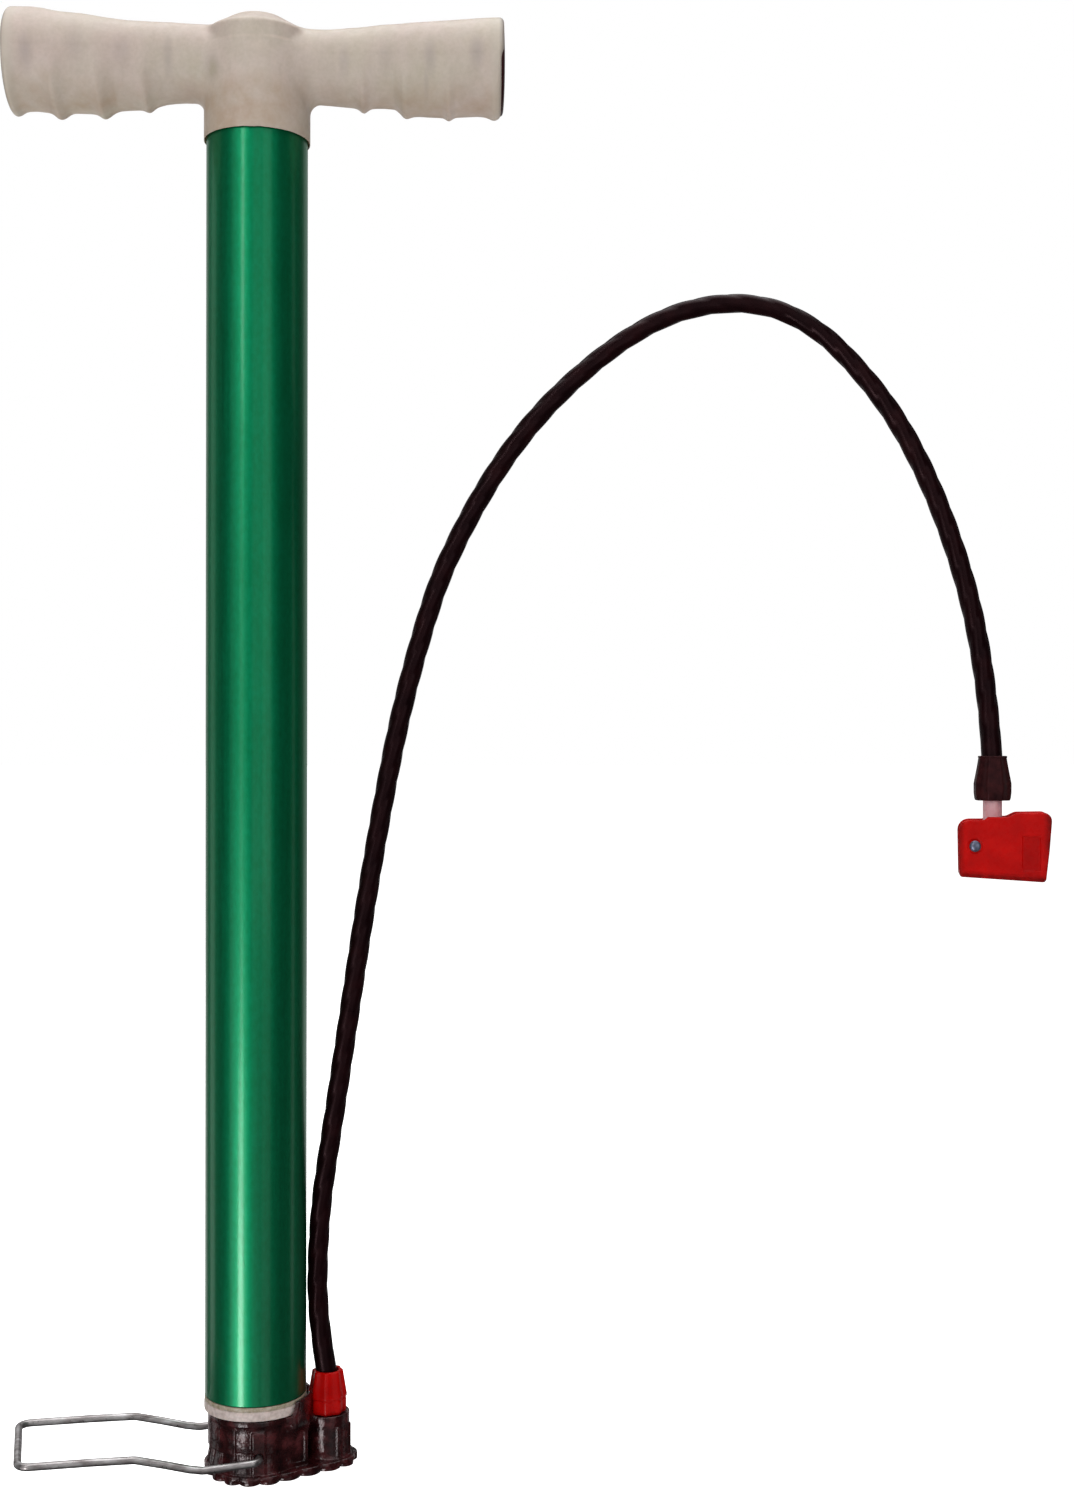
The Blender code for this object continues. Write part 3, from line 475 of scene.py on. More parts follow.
def wear(obj, paint, body=None, nodes=()):
    """Give a new piece its material, its body and the nodes it stands for."""
    obj.data.materials.clear()
    obj.data.materials.append(paint.mat)
    if body:
        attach(obj, body)
    if nodes:
        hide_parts(*nodes)
    return obj


def dress(node, paint):
    """Give a carried-over node its material."""
    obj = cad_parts[node]
    obj.data.materials.clear()
    obj.data.materials.append(paint.mat)
    obj.data.shade_smooth()
    obj.data.set_sharp_from_angle(angle=math.radians(32))


# -------------------------------------------------------------------- the hose
HOSE_R = 3.9
HOSE_ROUTE = (
    (26.0, 26.1), (25.75, 33.0), (24.3, 42.0), (22.3, 60.0), (22.5, 78.5), (23.8, 97.5),
    (26.4, 116.0), (29.3, 135.0), (34.8, 172.5), (40.4, 210.0), (46.8, 247.5), (54.3, 285.0),
    (65.0, 323.0), (72.6, 341.5), (82.4, 360.5), (94.5, 379.5), (110.3, 398.5), (131.3, 417.0),
    (150.0, 428.5), (165.5, 433.7), (180.5, 435.3), (195.5, 432.9), (208.5, 426.3),
    (219.5, 417.3), (235.4, 399.0), (247.0, 380.0), (255.8, 361.0), (262.8, 342.0),
    (268.4, 323.0), (272.3, 304.0), (275.0, 285.0), (276.6, 267.0), (277.0, 257.8),
)
outlet_depth = OUTLET_X * -math.sin(YAW)
side0, side1 = HOSE_ROUTE[0][0], HOSE_ROUTE[-1][0]
route = [in_hose_plane(s, outlet_depth + (12.0 - outlet_depth) * (s - side0) / (side1 - side0), z)
         for s, z in HOSE_ROUTE]
hose_line = smooth_path(route, 1.0)
hose_length = sum((q - p).length for p, q in zip(hose_line, hose_line[1:])) * MM


def hose_shape(s, a):
    """A slow twist under the skin, faint at the very ends, and a hose drawn thinner over the bend."""
    fade = step01((s - 8.0) / 20.0) * step01((hose_length / MM - 6.0 - s) / 20.0)
    phase = a - s * 2 * np.pi / 36.0
    swell = np.abs(np.cos(1.5 * phase)) ** 0.8
    bend = step01((s - 372.0) / 70.0) * step01((566.0 - s) / 90.0)
    return (1.0 - 0.085 * fade * (1.0 - swell)) * (1.0 - 0.085 * bend)


hose = tube_mesh("hose_skin", hose_line, HOSE_R, 48, True, hose_shape)

paint_hose = Paint("hose_rubber", srgb(20, 6, 8), 0.30, 0.0, Specular_IOR_Level=0.11, Specular_Tint=(1.0, 0.6, 0.65, 1.0))
p = paint_hose
mottle = p.noise(9.0, 4.0)
p.link(p.ramp(mottle, (0.30, srgb(12, 3, 5)), (0.55, srgb(20, 5, 7)), (0.75, srgb(30, 9, 11))), "Base Color")
p.link(p.span(p.noise(4.0, 3.0, shift=(0.3, 0.1, 0.0)), 0.3, 0.7, 0.24, 0.42), "Roughness")
p.bump(p.noise(1.3, 2.0), 0.05, 0.5).bump(p.noise(6.0, 2.0), 0.12, 0.6)
wear(hose, paint_hose, "barrel", ["hose"])

# ------------------------------------------------------------------ the barrel
TUBE_R = 18.7
tube = lathe("barrel_tube_skin", rounded([(18.0, 27.9), (TUBE_R, 27.9), (TUBE_R, 505.0), (18.0, 505.0)],
                                         [0.15, 0.35, 0.35, 0.2], 5), 160)
paint_tube = Paint("green_anodised", (0.001, 0.22, 0.09), 0.42, 0.90, Coat_Weight=0.33, Coat_Roughness=0.16,
                   Specular_IOR_Level=0.2,
                   Coat_IOR=1.5)
p = paint_tube
streak = p.noise(1.1, 4.0, (1.0, 1.0, 60.0))
cloud = p.noise(14.0, 4.0, (1.0, 1.0, 1.6))
grain = p.noise(1.6, 3.0, (1.0, 1.0, 1.6), shift=(0.2, 0.0, 0.1))
tone = p.mix(p.ramp(cloud, (0.3, (0.0005, 0.200, 0.076)), (0.7, (0.0015, 0.236, 0.096))),
             p.ramp(grain, (0.35, (0.0005, 0.190, 0.071)), (0.65, (0.002, 0.246, 0.102))), 0.45)
p.link(p.mix(tone, p.ramp(streak, (0.3, (0.75, 0.75, 0.75)), (0.7, (1.0, 1.0, 1.0))), 0.22, "MULTIPLY"), "Base Color")
p.link(p.span(p.noise(0.9, 3.0, (1.0, 1.0, 40.0), shift=(0.0, 0.3, 0.0)), 0.3, 0.7, 0.38, 0.46), "Roughness")
height = p.node("ShaderNodeSeparateXYZ", Vector=p.where).outputs["Z"]
p.link(p.span(height, 0.06, 0.28, 0.62, 0.24), "Coat Weight")
p.bump(p.noise(0.8, 2.0, (1.0, 1.0, 30.0)), 0.006, 0.35)
wear(tube, paint_tube, "barrel", ["barrel_tube"])

# ring between tube and base: a wide band below, a narrower one above a fine groove
ring = lathe("base_ring_skin", rounded([
    (18.0, 22.75), (18.8, 22.75), (18.95, 23.3), (18.95, 25.5), (18.75, 25.95), (18.5, 26.1), (18.7, 26.25),
    (18.78, 26.7), (18.78, 27.3), (18.65, 27.68), (18.0, 27.68)],
    [0.1, 0.15, 0.3, 0.3, 0.1, 0.05, 0.1, 0.2, 0.2, 0.15, 0.1], 4), 160)
paint_ring = Paint("ring_plastic", srgb(206, 196, 186), 0.42, 0.0, Subsurface_Weight=0.10, Subsurface_Scale=0.002)
p = paint_ring
x, y, z = p.xyz()
band = p.ramp(p.span(z, 0.0258, 0.0264, 0.0, 1.0), (0.0, srgb(200, 184, 178)), (1.0, srgb(146, 136, 104)))
speck = p.noise(1.5, 4.0)
p.link(p.mix(band, p.ramp(speck, (0.34, srgb(122, 102, 92)), (0.62, srgb(222, 208, 204))), 0.32), "Base Color")
p.bump(p.noise(0.7, 3.0), 0.10, 0.5)
wear(ring, paint_ring, "barrel", ["base_ring"])

# --------------------------------------------------------------------- the base
FLANGE_R, FOOT_R, LUG_PITCH = 20.9, 11.2, 8.2
body_r = table([(0.0, 18.9), (1.5, 18.7), (4.4, 18.15), (8.5, 17.4), (18.0, 17.8), (20.0, 18.2), (22.4, 18.25),
                (30.0, 18.25)])
lean = math.asin((FLANGE_R - FOOT_R) / OUTLET_X)
ARC1 = FLANGE_R * (math.pi / 2 + lean)              # half of the large arc
RUN = math.sqrt(OUTLET_X ** 2 - (FLANGE_R - FOOT_R) ** 2)
ARC2 = FOOT_R * (math.pi / 2 - lean)                # half of the small arc
HALF = ARC1 + RUN + ARC2
LUGS = round(2 * HALF / LUG_PITCH)


def teardrop(x, y):
    """Distance to the foot's outline, and the run along it from its left end."""
    x = x - 1.8 * step01((-x - 5.0) / 13.0)          # a little flatter on the stirrup's side
    ay = np.abs(y)
    nx, ny = math.sin(lean), math.cos(lean)          # normal of the straight side
    along = x * ny - ay * nx
    d1 = np.hypot(x, ay) - FLANGE_R
    d2 = np.hypot(x - OUTLET_X, ay) - FOOT_R
    d3 = x * nx + ay * ny - FLANGE_R
    d = np.where(along < 0, d1, np.where(along > RUN, d2, d3))
    a1 = np.arctan2(ay, -x) * FLANGE_R
    a2 = ARC1 + along
    a3 = HALF - np.arctan2(ay, x - OUTLET_X) * FOOT_R
    s = np.where(along < 0, np.minimum(a1, ARC1), np.where(along > RUN, np.maximum(a3, ARC1 + RUN), a2))
    return d, s


RIBS = (119.0, 141.0, 160.0, 180.0)


def base_field(x, y, z):
    rho = np.hypot(x, y)
    round_ = np.hypot(x - 1.0 * step01((-x - 4.0) / 12.0), y)   # the body is flatter there too
    ang = np.degrees(np.arctan2(np.abs(y), x))
    # foot flange with lugs
    d, s = teardrop(x, y)
    u = (s / (2 * HALF) * LUGS) % 1.0
    valley = 1.0 - np.sin(np.pi * u) ** 0.7
    low = 1.0 - step01((z - 1.0) / 0.9)
    dip = valley * (0.65 + 1.65 * low) + 0.25 * step01((z - 2.3) / 0.7)
    foot = keep((d + dip) * 0.9, slab(z, 0.0, 3.0), 0.35)
    # round body
    r = body_r(z)
    body = keep(round_ - r, slab(z, 0.6, 22.4), 0.4)
    for at in RIBS:
        off = np.abs(ang - at) * (np.pi / 180) * rho
        rib = keep(keep(off - 0.55, round_ - (r + 0.7 - 0.2 * step01((z - 15.0) / 5.0)), 0.3),
                   slab(z, 1.2, 19.6), 0.5)
        rib = np.where(rho < r - 3.0, 5.0, rib)
        body = join(body, rib, 0.45)
    # raised lip under the ring on the left
    body = join(body, keep(round_ - 18.55, slab(z, 20.3, 22.3), 0.4), 0.4)
    # pads round the pivot holes
    pad = block(np.abs(x), np.abs(y), z, -2.5, 2.5, 12.0, 18.7, 2.0, 18.5, 0.6)
    body = join(body, pad, 0.5)
    # the outlet arm with its slanted flanks, each with a sunk panel
    ay = np.abs(y)
    fx, fy = 18.3 - 5.5, 16.3 - 11.0
    fl = math.hypot(fx, fy)
    nx, ny = fy / fl, fx / fl
    flank = (x - 5.5) * nx + (ay - 16.3) * ny
    arm = keep(keep(flank, slab(x, 0.0, 18.5), 0.5), ay - 16.4, 0.5)
    arm = keep(arm, slab(z, 1.0, 18.4), 0.5)
    along = (x - 5.5) * ny - (ay - 16.3) * nx
    panel = keep(keep(slab(along, 1.9, 12.6), -(flank + 0.55), 0.2), slab(z, 4.6, 16.4), 0.4)
    arm = carve(arm, panel, 0.25)
    base = join(body, arm, 0.5)
    # boss with its nut recess, and a small gate mark on its right
    br = np.hypot(x - OUTLET_X, y)
    boss = keep(br - (8.2 + 0.5 * step01((4.6 - z) / 3.0)), slab(z, 0.8, 18.6), 0.45)
    for deg in (-68.0, -20.0, 20.0, 68.0):
        bx, by = OUTLET_X + 8.2 * math.cos(math.radians(deg)), 8.2 * math.sin(math.radians(deg))
        boss = join(boss, keep(np.hypot(x - bx, y - by) - 0.7, slab(z, 1.5, 14.5), 0.4), 0.4)
    base = join(base, boss, 0.8)
    # cradle that stands round the ring on the arm's side
    half = 52.0 - 4.0 * step01((19.6 - z) / 6.0) - 5.0 * step01((z - 22.0) / 5.0)
    edge = (ang - half) * (np.pi / 180) * rho
    cr1 = 18.3 + 2.65 * step01((z - 14.0) / 4.6)
    cradle = keep(keep(rho - cr1, edge, 2.0), slab(z, 13.0, 27.4), 0.9)
    base = join(base, cradle, 2.4)
    base = join(base, foot, 0.55)
    base = carve(base, np.maximum(rho - 19.55, 22.43 - z), 0.15)
    base = join(base, np.maximum(rho - 17.6, slab(z, 10.0, 26.5)), 0.01)
    base = carve(base, np.maximum(br - 7.55, 18.05 - z), 0.25)
    base = carve(base, np.maximum(np.hypot(x, z - 9.4) - 1.55, 12.6 - ay), 0.3)
    return base


CELL = 0.32
base = nets("base_casting_skin", base_field, (-21.5, -21.5, 0.0), (38.4, 21.5, 27.6), CELL)
paint_base = Paint("base_black", srgb(44, 15, 16), 0.22, 0.0, Specular_IOR_Level=0.12, Coat_Weight=0.62,
                   Coat_Roughness=0.12, Coat_Tint=(1.0, 0.80, 0.84, 1.0), Specular_Tint=(1.0, 0.7, 0.75, 1.0))
p = paint_base
blotch = p.noise(5.0, 4.0)
p.link(p.ramp(blotch, (0.32, srgb(16, 4, 5)), (0.52, srgb(42, 13, 14)), (0.70, srgb(78, 34, 36))), "Base Color")
p.link(p.span(p.noise(2.2, 4.0, shift=(0.1, 0.2, 0.0)), 0.3, 0.7, 0.16, 0.38), "Roughness")
p.link(p.span(p.noise(1.6, 4.0, shift=(0.4, 0.2, 0.1)), 0.35, 0.65, 0.05, 0.20), "Coat Roughness")
p.bump(p.noise(1.1, 3.0), 0.22, 0.6).bump(p.noise(3.2, 2.0), 0.45, 0.6)
p.link(p.last_normal, "Coat Normal")
wear(base, paint_base, "barrel", ["base_casting"])


# ----------------------------------------------------------------- the stirrup
def rounded_corners(points, radii, steps=8):
    pts = [Vector(p) for p in points]
    out = [pts[0]]
    for i in range(1, len(pts) - 1):
        r = radii[i]
        if r <= 0.0:
            out.append(pts[i])
            continue
        a = (pts[i - 1] - pts[i]).normalized()
        b = (pts[i + 1] - pts[i]).normalized()
        half = 0.5 * a.angle(b)
        middle = pts[i] + (a + b).normalized() * (r / math.sin(half))
        start = pts[i] + a * (r / math.tan(half)) - middle
        end = pts[i] + b * (r / math.tan(half)) - middle
        turn = start.angle(end)
        for k in range(steps + 1):
            t = k / steps
            out.append(middle + (start * math.sin((1 - t) * turn) + end * math.sin(t * turn))
                       / math.sin(turn))
    out.append(pts[-1])
    return out


side_line = ((0.0, 9.4), (-20.0, 8.1), (-25.0, 9.0), (-34.0, 11.4), (-44.0, 13.8), (-60.0, 14.1))


def stirrup_arm(y, loop_x):
    leg = math.copysign(13.3, y)
    return [(0.0, leg, 9.4), (0.0, y, 9.4)] + [(x, y, z) for x, z in side_line[1:]] + [(loop_x, y, 14.2)]


arm_radii = [0.0, 3.0, 8.0, 8.0, 0.0, 10.0, 0.0, 4.5]
wire_path = rounded_corners(stirrup_arm(21.5, -86.5) + stirrup_arm(-22.75, -84.3)[::-1],
                            arm_radii + arm_radii[::-1], 8)
dense = [wire_path[0]]
for a, b in zip(wire_path, wire_path[1:]):
    parts = max(1, int((b - a).length / 1.5))
    dense += [a.lerp(b, (k + 1) / parts) for k in range(parts)]
stirrup = tube_mesh("stirrup_wire", dense, 1.38, 24)
paint_wire = Paint("galvanised_wire", srgb(166, 163, 162), 0.36, 1.0)
p = paint_wire
p.link(p.ramp(p.noise(2.5, 4.0, (3.0, 1.0, 1.0)), (0.30, srgb(120, 112, 112)), (0.5, srgb(164, 160, 160)),
              (0.72, srgb(206, 204, 206))), "Base Color")
p.link(p.span(p.noise(1.2, 3.0), 0.3, 0.7, 0.26, 0.5), "Roughness")
p.bump(p.noise(0.7, 3.0, (4.0, 1.0, 1.0)), 0.05, 0.5)
wear(stirrup, paint_wire, "stirrup", ["foot_stirrup"])


# ------------------------------------------------------------------- hose nuts
def nut_field(radius_at, z0, z1, bores, sides, flute, lead):
    radius_at = table(radius_at)

    def field(x, y, z):
        rho = np.hypot(x, y)
        a = np.arctan2(y, x) + math.radians(lead)
        part = 2 * np.pi / sides
        local = (a / part) % 1.0 - 0.5                 # 0 in the middle of a flat
        r = radius_at(z)
        flat = rho * np.cos(local * part) - r * math.cos(part / 2) * 1.015
        sunk = flute * np.cos(np.pi * local) ** 2
        d = keep(flat + sunk, rho - r, 0.25)
        d = keep(d * 0.97, slab(z, z0, z1), 0.4)
        for br, b0, b1 in bores:
            d = carve(d, np.maximum(rho - br, slab(z, b0, b1)), 0.2)
        return d
    return field


AT_OUTLET = Matrix.Translation((OUTLET_X, 0, 0))
AT_NECK = HEAD @ Matrix.Translation((NECK_U, 0, 0))
lower_nut = nets("lower_hose_nut_skin", nut_field(
    [(18.4, 6.8), (19.4, 7.0), (23.2, 7.05), (23.7, 6.85), (24.2, 7.25), (24.9, 7.3), (33.0, 5.95), (34.0, 5.8)],
    18.4, 34.0, [(5.4, 10.0, 26.0), (4.25, 25.0, 40.0)], 8, 0.22, 11.0),
    (-7.5, -7.5, 18.4), (7.5, 7.5, 34.0), 0.2, AT_OUTLET)
paint_red = Paint("red_plastic", srgb(190, 8, 4), 0.26, 0.0, Specular_IOR_Level=0.10,
                  Subsurface_Weight=0.05, Subsurface_Scale=0.002)
p = paint_red
p.link(p.ramp(p.noise(6.0, 4.0), (0.30, srgb(156, 4, 3)), (0.55, srgb(174, 6, 4)), (0.75, srgb(188, 10, 6))), "Base Color")
p.link(p.span(p.noise(2.0, 3.0), 0.3, 0.7, 0.24, 0.40), "Roughness")
p.bump(p.noise(5.0, 2.0), 0.12, 0.35)
wear(lower_nut, paint_red, "barrel", ["lower_hose_nut"])

upper_nut = nets("upper_hose_nut_skin", nut_field(
    [(17.0, 6.65), (18.0, 6.95), (20.0, 7.2), (23.4, 7.22), (24.6, 7.0), (30.5, 5.85), (33.1, 5.4), (33.4, 5.6), (33.9, 5.55)],
    17.0, 33.9, [(5.0, 10.0, 27.2), (4.2, 26.0, 40.0)], 8, 0.22, 16.0),
    (-7.3, -7.3, 17.0), (7.3, 7.3, 33.9), 0.2, AT_NECK)
paint_black = Paint("black_plastic", srgb(44, 17, 19), 0.28, 0.0, Specular_IOR_Level=0.12, Specular_Tint=(1.0, 0.6, 0.65, 1.0))
p = paint_black
p.link(p.ramp(p.noise(3.0, 4.0), (0.30, srgb(28, 9, 11)), (0.70, srgb(52, 20, 21))), "Base Color")
p.link(p.span(p.noise(1.5, 3.0), 0.3, 0.7, 0.28, 0.46), "Roughness")
p.bump(p.noise(0.7, 2.0), 0.06, 0.5)
wear(upper_nut, paint_black, "barrel", ["upper_hose_nut"])

# ------------------------------------------------------------------ valve head
ACROSS = HEAD @ Matrix.Rotation(math.pi / 2, 4, "X")
LEVER = ((-5.7, -11.6), (25.8, -13.3), (27.1, -1.5), (28.2, 12.9), (15.2, 12.6), (11.9, 11.0),
         (4.6, 11.0), (3.4, 9.9), (-6.1, 9.8))
LEVER_ROUND = (1.2, 1.4, 0.0, 3.2, 2.5, 2.5, 1.0, 0.8, 4.5)
lever_outline = rounded(LEVER, LEVER_ROUND, 6)


def lever_field(x, y, z):
    """x along the head, y across it, z up; the pin's axis is at the origin."""
    shape2 = polygon(x, z, lever_outline)
    d = keep(shape2, np.abs(y) - 8.8, 0.7)
    floor = z - (-9.5 - (x + 9.0) * 0.0537)
    room = np.maximum(np.abs(y) - 7.3, -floor)
    d = carve(d, room, 0.35)
    # a shallow sunk field near the free end of each cheek, and a low step along its foot
    ay = np.abs(y)
    sunk = block(x, ay, z, 17.3, 23.8, 8.45, 10.0, -9.0, 4.0, 0.25)
    d = carve(d, sunk, 0.2)
    foot = keep(8.62 - ay, z - (-10.3 - (x + 5.7) * 0.054), 0.15)
    d = carve(d, foot, 0.15)
    # countersink round the pin
    d = carve(d, np.maximum(np.hypot(x, z) - 2.75, 8.5 - ay), 0.2)
    d = carve(d, np.hypot(x, z) - 1.75, 0.1)
    return d


lever = nets("head_lever_skin", lever_field, (-6.3, -8.9, -13.6), (28.5, 8.9, 13.1), 0.28,
             HEAD)
paint_lever = Paint("red_lever", srgb(190, 8, 4), 0.26, 0.0, Specular_IOR_Level=0.08,
                    Subsurface_Weight=0.05, Subsurface_Scale=0.002)
p = paint_lever
home = HEAD.inverted()
local = p.node("ShaderNodeMapping", Vector=p.where, Location=tuple(home.translation * MM), Rotation=tuple(home.to_euler()))
axes = p.node("ShaderNodeSeparateXYZ", Vector=local.outputs["Vector"])
u, w = axes.outputs[0], axes.outputs[2]
red = p.ramp(p.noise(6.0, 4.0), (0.30, srgb(172, 4, 3)), (0.55, srgb(186, 6, 4)), (0.75, srgb(198, 12, 7)))
# painted shade: the lever turns darker red along its bottom edge and at both ends, in noisy patches
under = p.maths("ADD", w, p.maths("MULTIPLY", p.maths("ADD", u, 0.0057), 0.054))
rim = p.maths("MAXIMUM", p.span(under, -0.0088, -0.0106, 0.0, 1.0),
              p.maths("MAXIMUM", p.span(u, -0.0036, -0.0056, 0.0, 0.8), p.span(u, 0.0246, 0.0268, 0.0, 0.9)))
rim = p.maths("MULTIPLY", rim, p.span(p.noise(3.0, 3.0, shift=(0.2, 0.0, 0.3)), 0.35, 0.65, 0.45, 0.85))
red = p.mix(red, srgb(86, 3, 3), rim)
shade = p.maths("MULTIPLY", p.span(p.maths("ABSOLUTE", p.maths("SUBTRACT", u, 0.0205)), 0.0024, 0.0036, 1.0, 0.0),
                p.span(w, 0.0036, 0.0046, 0.35, 0.0))
p.link(p.mix(red, srgb(128, 4, 4), shade), "Base Color")
p.link(p.span(p.noise(2.0, 3.0), 0.3, 0.7, 0.22, 0.36), "Roughness")
p.bump(p.noise(5.0, 2.0), 0.12, 0.35)
wear(lever, paint_lever, "lever", ["head_lever"])

pin = lathe("head_pin_skin", [
    (0.0, -9.75), (0.7, -9.72), (1.3, -9.6), (1.8, -9.38), (2.05, -9.18), (2.1, -9.0), (2.05, -8.82), (1.5, -8.8),
    (1.5, 8.8), (2.05, 8.82), (2.1, 9.0), (2.05, 9.18), (1.8, 9.38), (1.3, 9.6), (0.7, 9.72), (0.0, 9.75)],
    48, ACROSS)
paint_pin = Paint("blued_steel", srgb(96, 100, 120), 0.30, 0.75)
p = paint_pin
p.link(p.ramp(p.noise(1.0, 3.0), (0.3, srgb(84, 82, 102)), (0.7, srgb(110, 118, 138))), "Base Color")
p.bump(p.noise(0.5, 2.0), 0.03, 0.4)
wear(pin, paint_pin, "lever", ["head_pin"])

paint_neck = Paint("head_plastic", srgb(216, 176, 180), 0.38, 0.0, Subsurface_Weight=0.25, Subsurface_Scale=0.002)
paint_neck.set("Subsurface Radius", (1.0, 0.4, 0.35))
p = paint_neck
p.link(p.ramp(p.noise(2.5, 3.0), (0.3, srgb(218, 156, 166)), (0.7, srgb(238, 188, 192))), "Base Color")
p.bump(p.noise(0.9, 2.0), 0.06, 0.4)
dress("head_body", paint_neck)

# ------------------------------------------------------------------- the handle
TOP_L = table([(0, 13.6), (17, 13.7), (22, 13.8), (27, 14.0), (31, 14.25), (40, 14.3), (47, 14.55), (51, 14.95),
               (54, 15.25), (57, 15.65), (60, 16.15), (64, 16.7), (68, 17.0), (71, 17.2), (74, 17.6), (78, 18.45),
               (82, 18.9), (88, 18.85), (93, 18.7)])
TOP_R = table([(0, 13.2), (17, 13.0), (22, 12.6), (27, 12.6), (31, 12.9), (34, 13.25), (37, 13.45), (40, 13.8),
               (43, 14.2), (47, 14.75), (51, 15.0), (54, 15.15), (57, 15.5), (60, 15.75), (64, 16.05), (68, 16.4),
               (71, 16.6), (74, 16.9), (78, 17.25), (82, 17.65), (85, 17.85), (88, 18.05), (93, 18.1)])
LOW_L = table([(0, 14.1), (27, 14.1), (31, 14.4), (34, 14.8), (37, 15.6), (40, 16.6), (43, 16.9), (47, 17.1),
               (51, 17.4), (54, 18.2), (57, 18.7), (60, 18.6), (64, 18.5), (68, 18.4), (71, 18.8), (74, 18.8),
               (78, 18.2), (82, 17.8), (85, 17.9), (88, 18.2), (92, 18.2)])
LOW_R = table([(0, 13.9), (22, 13.9), (27, 14.25), (31, 14.6), (34, 14.8), (37, 15.0), (40, 15.1), (43, 14.95),
               (47, 14.85), (51, 15.1), (54, 17.2), (57, 17.7), (60, 17.6), (64, 17.8), (68, 17.85), (71, 17.8),
               (74, 17.6), (78, 17.4), (82, 17.15), (85, 17.3), (88, 17.5), (92, 17.3)])
RIDGES_L = ((40.3, 1.1, 1.9), (56.6, 1.6, 2.4), (73.0, 1.9, 2.4), (89.4, 1.6, 2.2))
RIDGES_R = ((39.4, 1.6, 1.9), (55.2, 1.0, 1.8), (71.3, 1.2, 1.6), (88.2, 1.0, 2.2))
DOME = table([(0, 539.3), (2, 539.2), (4, 539.0), (6, 538.7), (8, 538.3), (10, 537.5), (12, 536.3), (13.5, 535.3),
              (15, 534.4), (16.5, 533.5), (18, 532.6), (19.4, 531.5), (22, 529.0)])
PLUG_L, PLUG_R = 91.3, 92.1       # how far the two end plugs reach
GROOVES = (31.6, 47.6, 64.1, 80.7)
SKIRT_R, SKIRT_BORE = 19.6, 19.2


def handle_field(x, y, z):
    zz = z - GRIP_Z
    ax = np.abs(x)
    top = np.where(x < 0, TOP_L(ax), TOP_R(ax))
    low = np.where(x < 0, LOW_L(ax), LOW_R(ax))
    tall = np.where(zz >= 0, top, low)
    wide = 0.495 * (top + low)
    rad = np.hypot(y / wide, zz / tall)
    grip = (rad - 1.0) * np.minimum(wide, tall)
    down = np.clip(-zz / (rad * tall + 1e-6), 0.0, 1.0)
    ridge = np.zeros_like(grip)
    for side, ridges in ((-1, RIDGES_L), (1, RIDGES_R)):
        here = (x * side) > 0
        for at, h, w in ridges:
            ridge += np.where(here, h * np.exp(-((ax - at) / w) ** 2), 0.0)
    grip = grip - ridge * down ** 1.6
    # shallow finger fields on the lower half of both faces
    lower = step01((0.8 - zz) / 1.6)
    groove = 0.0
    for at in GROOVES:
        groove = groove + np.exp(-((ax - at) / 4.2) ** 4)
    grip = grip + lower * (0.10 + 0.22 * groove) * step01((ax - 22.0) / 4.0) * step01((92.0 - ax) / 3.0) * (1 - down ** 4)
    # the rim, which stands back a little further from the plug below than above
    rim = np.where(x < 0, PLUG_L, PLUG_R) - 0.45 - np.where(x < 0, 0.15, 0.8) * step01((3.5 - zz) / 6.0)
    grip = keep(grip * 0.98, ax - rim, 1.7)
    rho = np.hypot(x, y)
    hub = keep(rho - SKIRT_R, (z - DOME(rho)) * 0.86, 0.8)
    hub = keep(hub, 492.0 - z, 0.25)
    d = join(grip, hub, 4.2 - 2.6 * step01((zz - 1.0) / 6.0))
    return d


TURN = Matrix.Rotation(HANDLE_YAW, 4, "Z")

def bored(obj, profile, segments=128):
    """Cut a turned room, given as (radius, height) points in millimetres, out of a piece."""
    cutter = lathe("cutter", profile, segments)
    mod = obj.modifiers.new("bore", "BOOLEAN")
    mod.operation, mod.solver, mod.object = "DIFFERENCE", "EXACT", cutter
    mesh = bpy.data.meshes.new_from_object(obj.evaluated_get(bpy.context.evaluated_depsgraph_get()))
    obj.modifiers.clear()
    old, obj.data = obj.data, mesh
    bpy.data.meshes.remove(old)
    bpy.data.objects.remove(cutter)
    mesh.shade_smooth()
    mesh.set_sharp_from_angle(angle=math.radians(40.0))


handle = nets("handle_skin", handle_field, (-91.9, -20.4, 491.0), (92.6, 20.4, 541.0), 0.62, TURN)
# room for the tube's top, the lock nut and the rod
bored(handle, [(0.0, 489.0), (SKIRT_BORE + 0.25, 489.0), (SKIRT_BORE + 0.25, 492.1), (SKIRT_BORE, 492.9),
               (SKIRT_BORE, 507.3), (8.0, 507.3), (8.0, 518.6), (4.3, 518.6), (4.3, 528.5), (0.0, 528.5)])
paint_handle = Paint("milky_plastic", srgb(194, 181, 172), 0.46, 0.0, Subsurface_Weight=0.12,
                     Subsurface_Scale=0.003, Specular_IOR_Level=0.32)
paint_handle.set("Subsurface Radius", (1.0, 0.7, 0.5))
p = paint_handle
turned = p.node("ShaderNodeMapping", Vector=p.where, Rotation=(0.0, 0.0, -HANDLE_YAW)).outputs["Vector"]
axes = p.node("ShaderNodeSeparateXYZ", Vector=turned)
along, deep, high = axes.outputs[0], axes.outputs[1], axes.outputs[2]


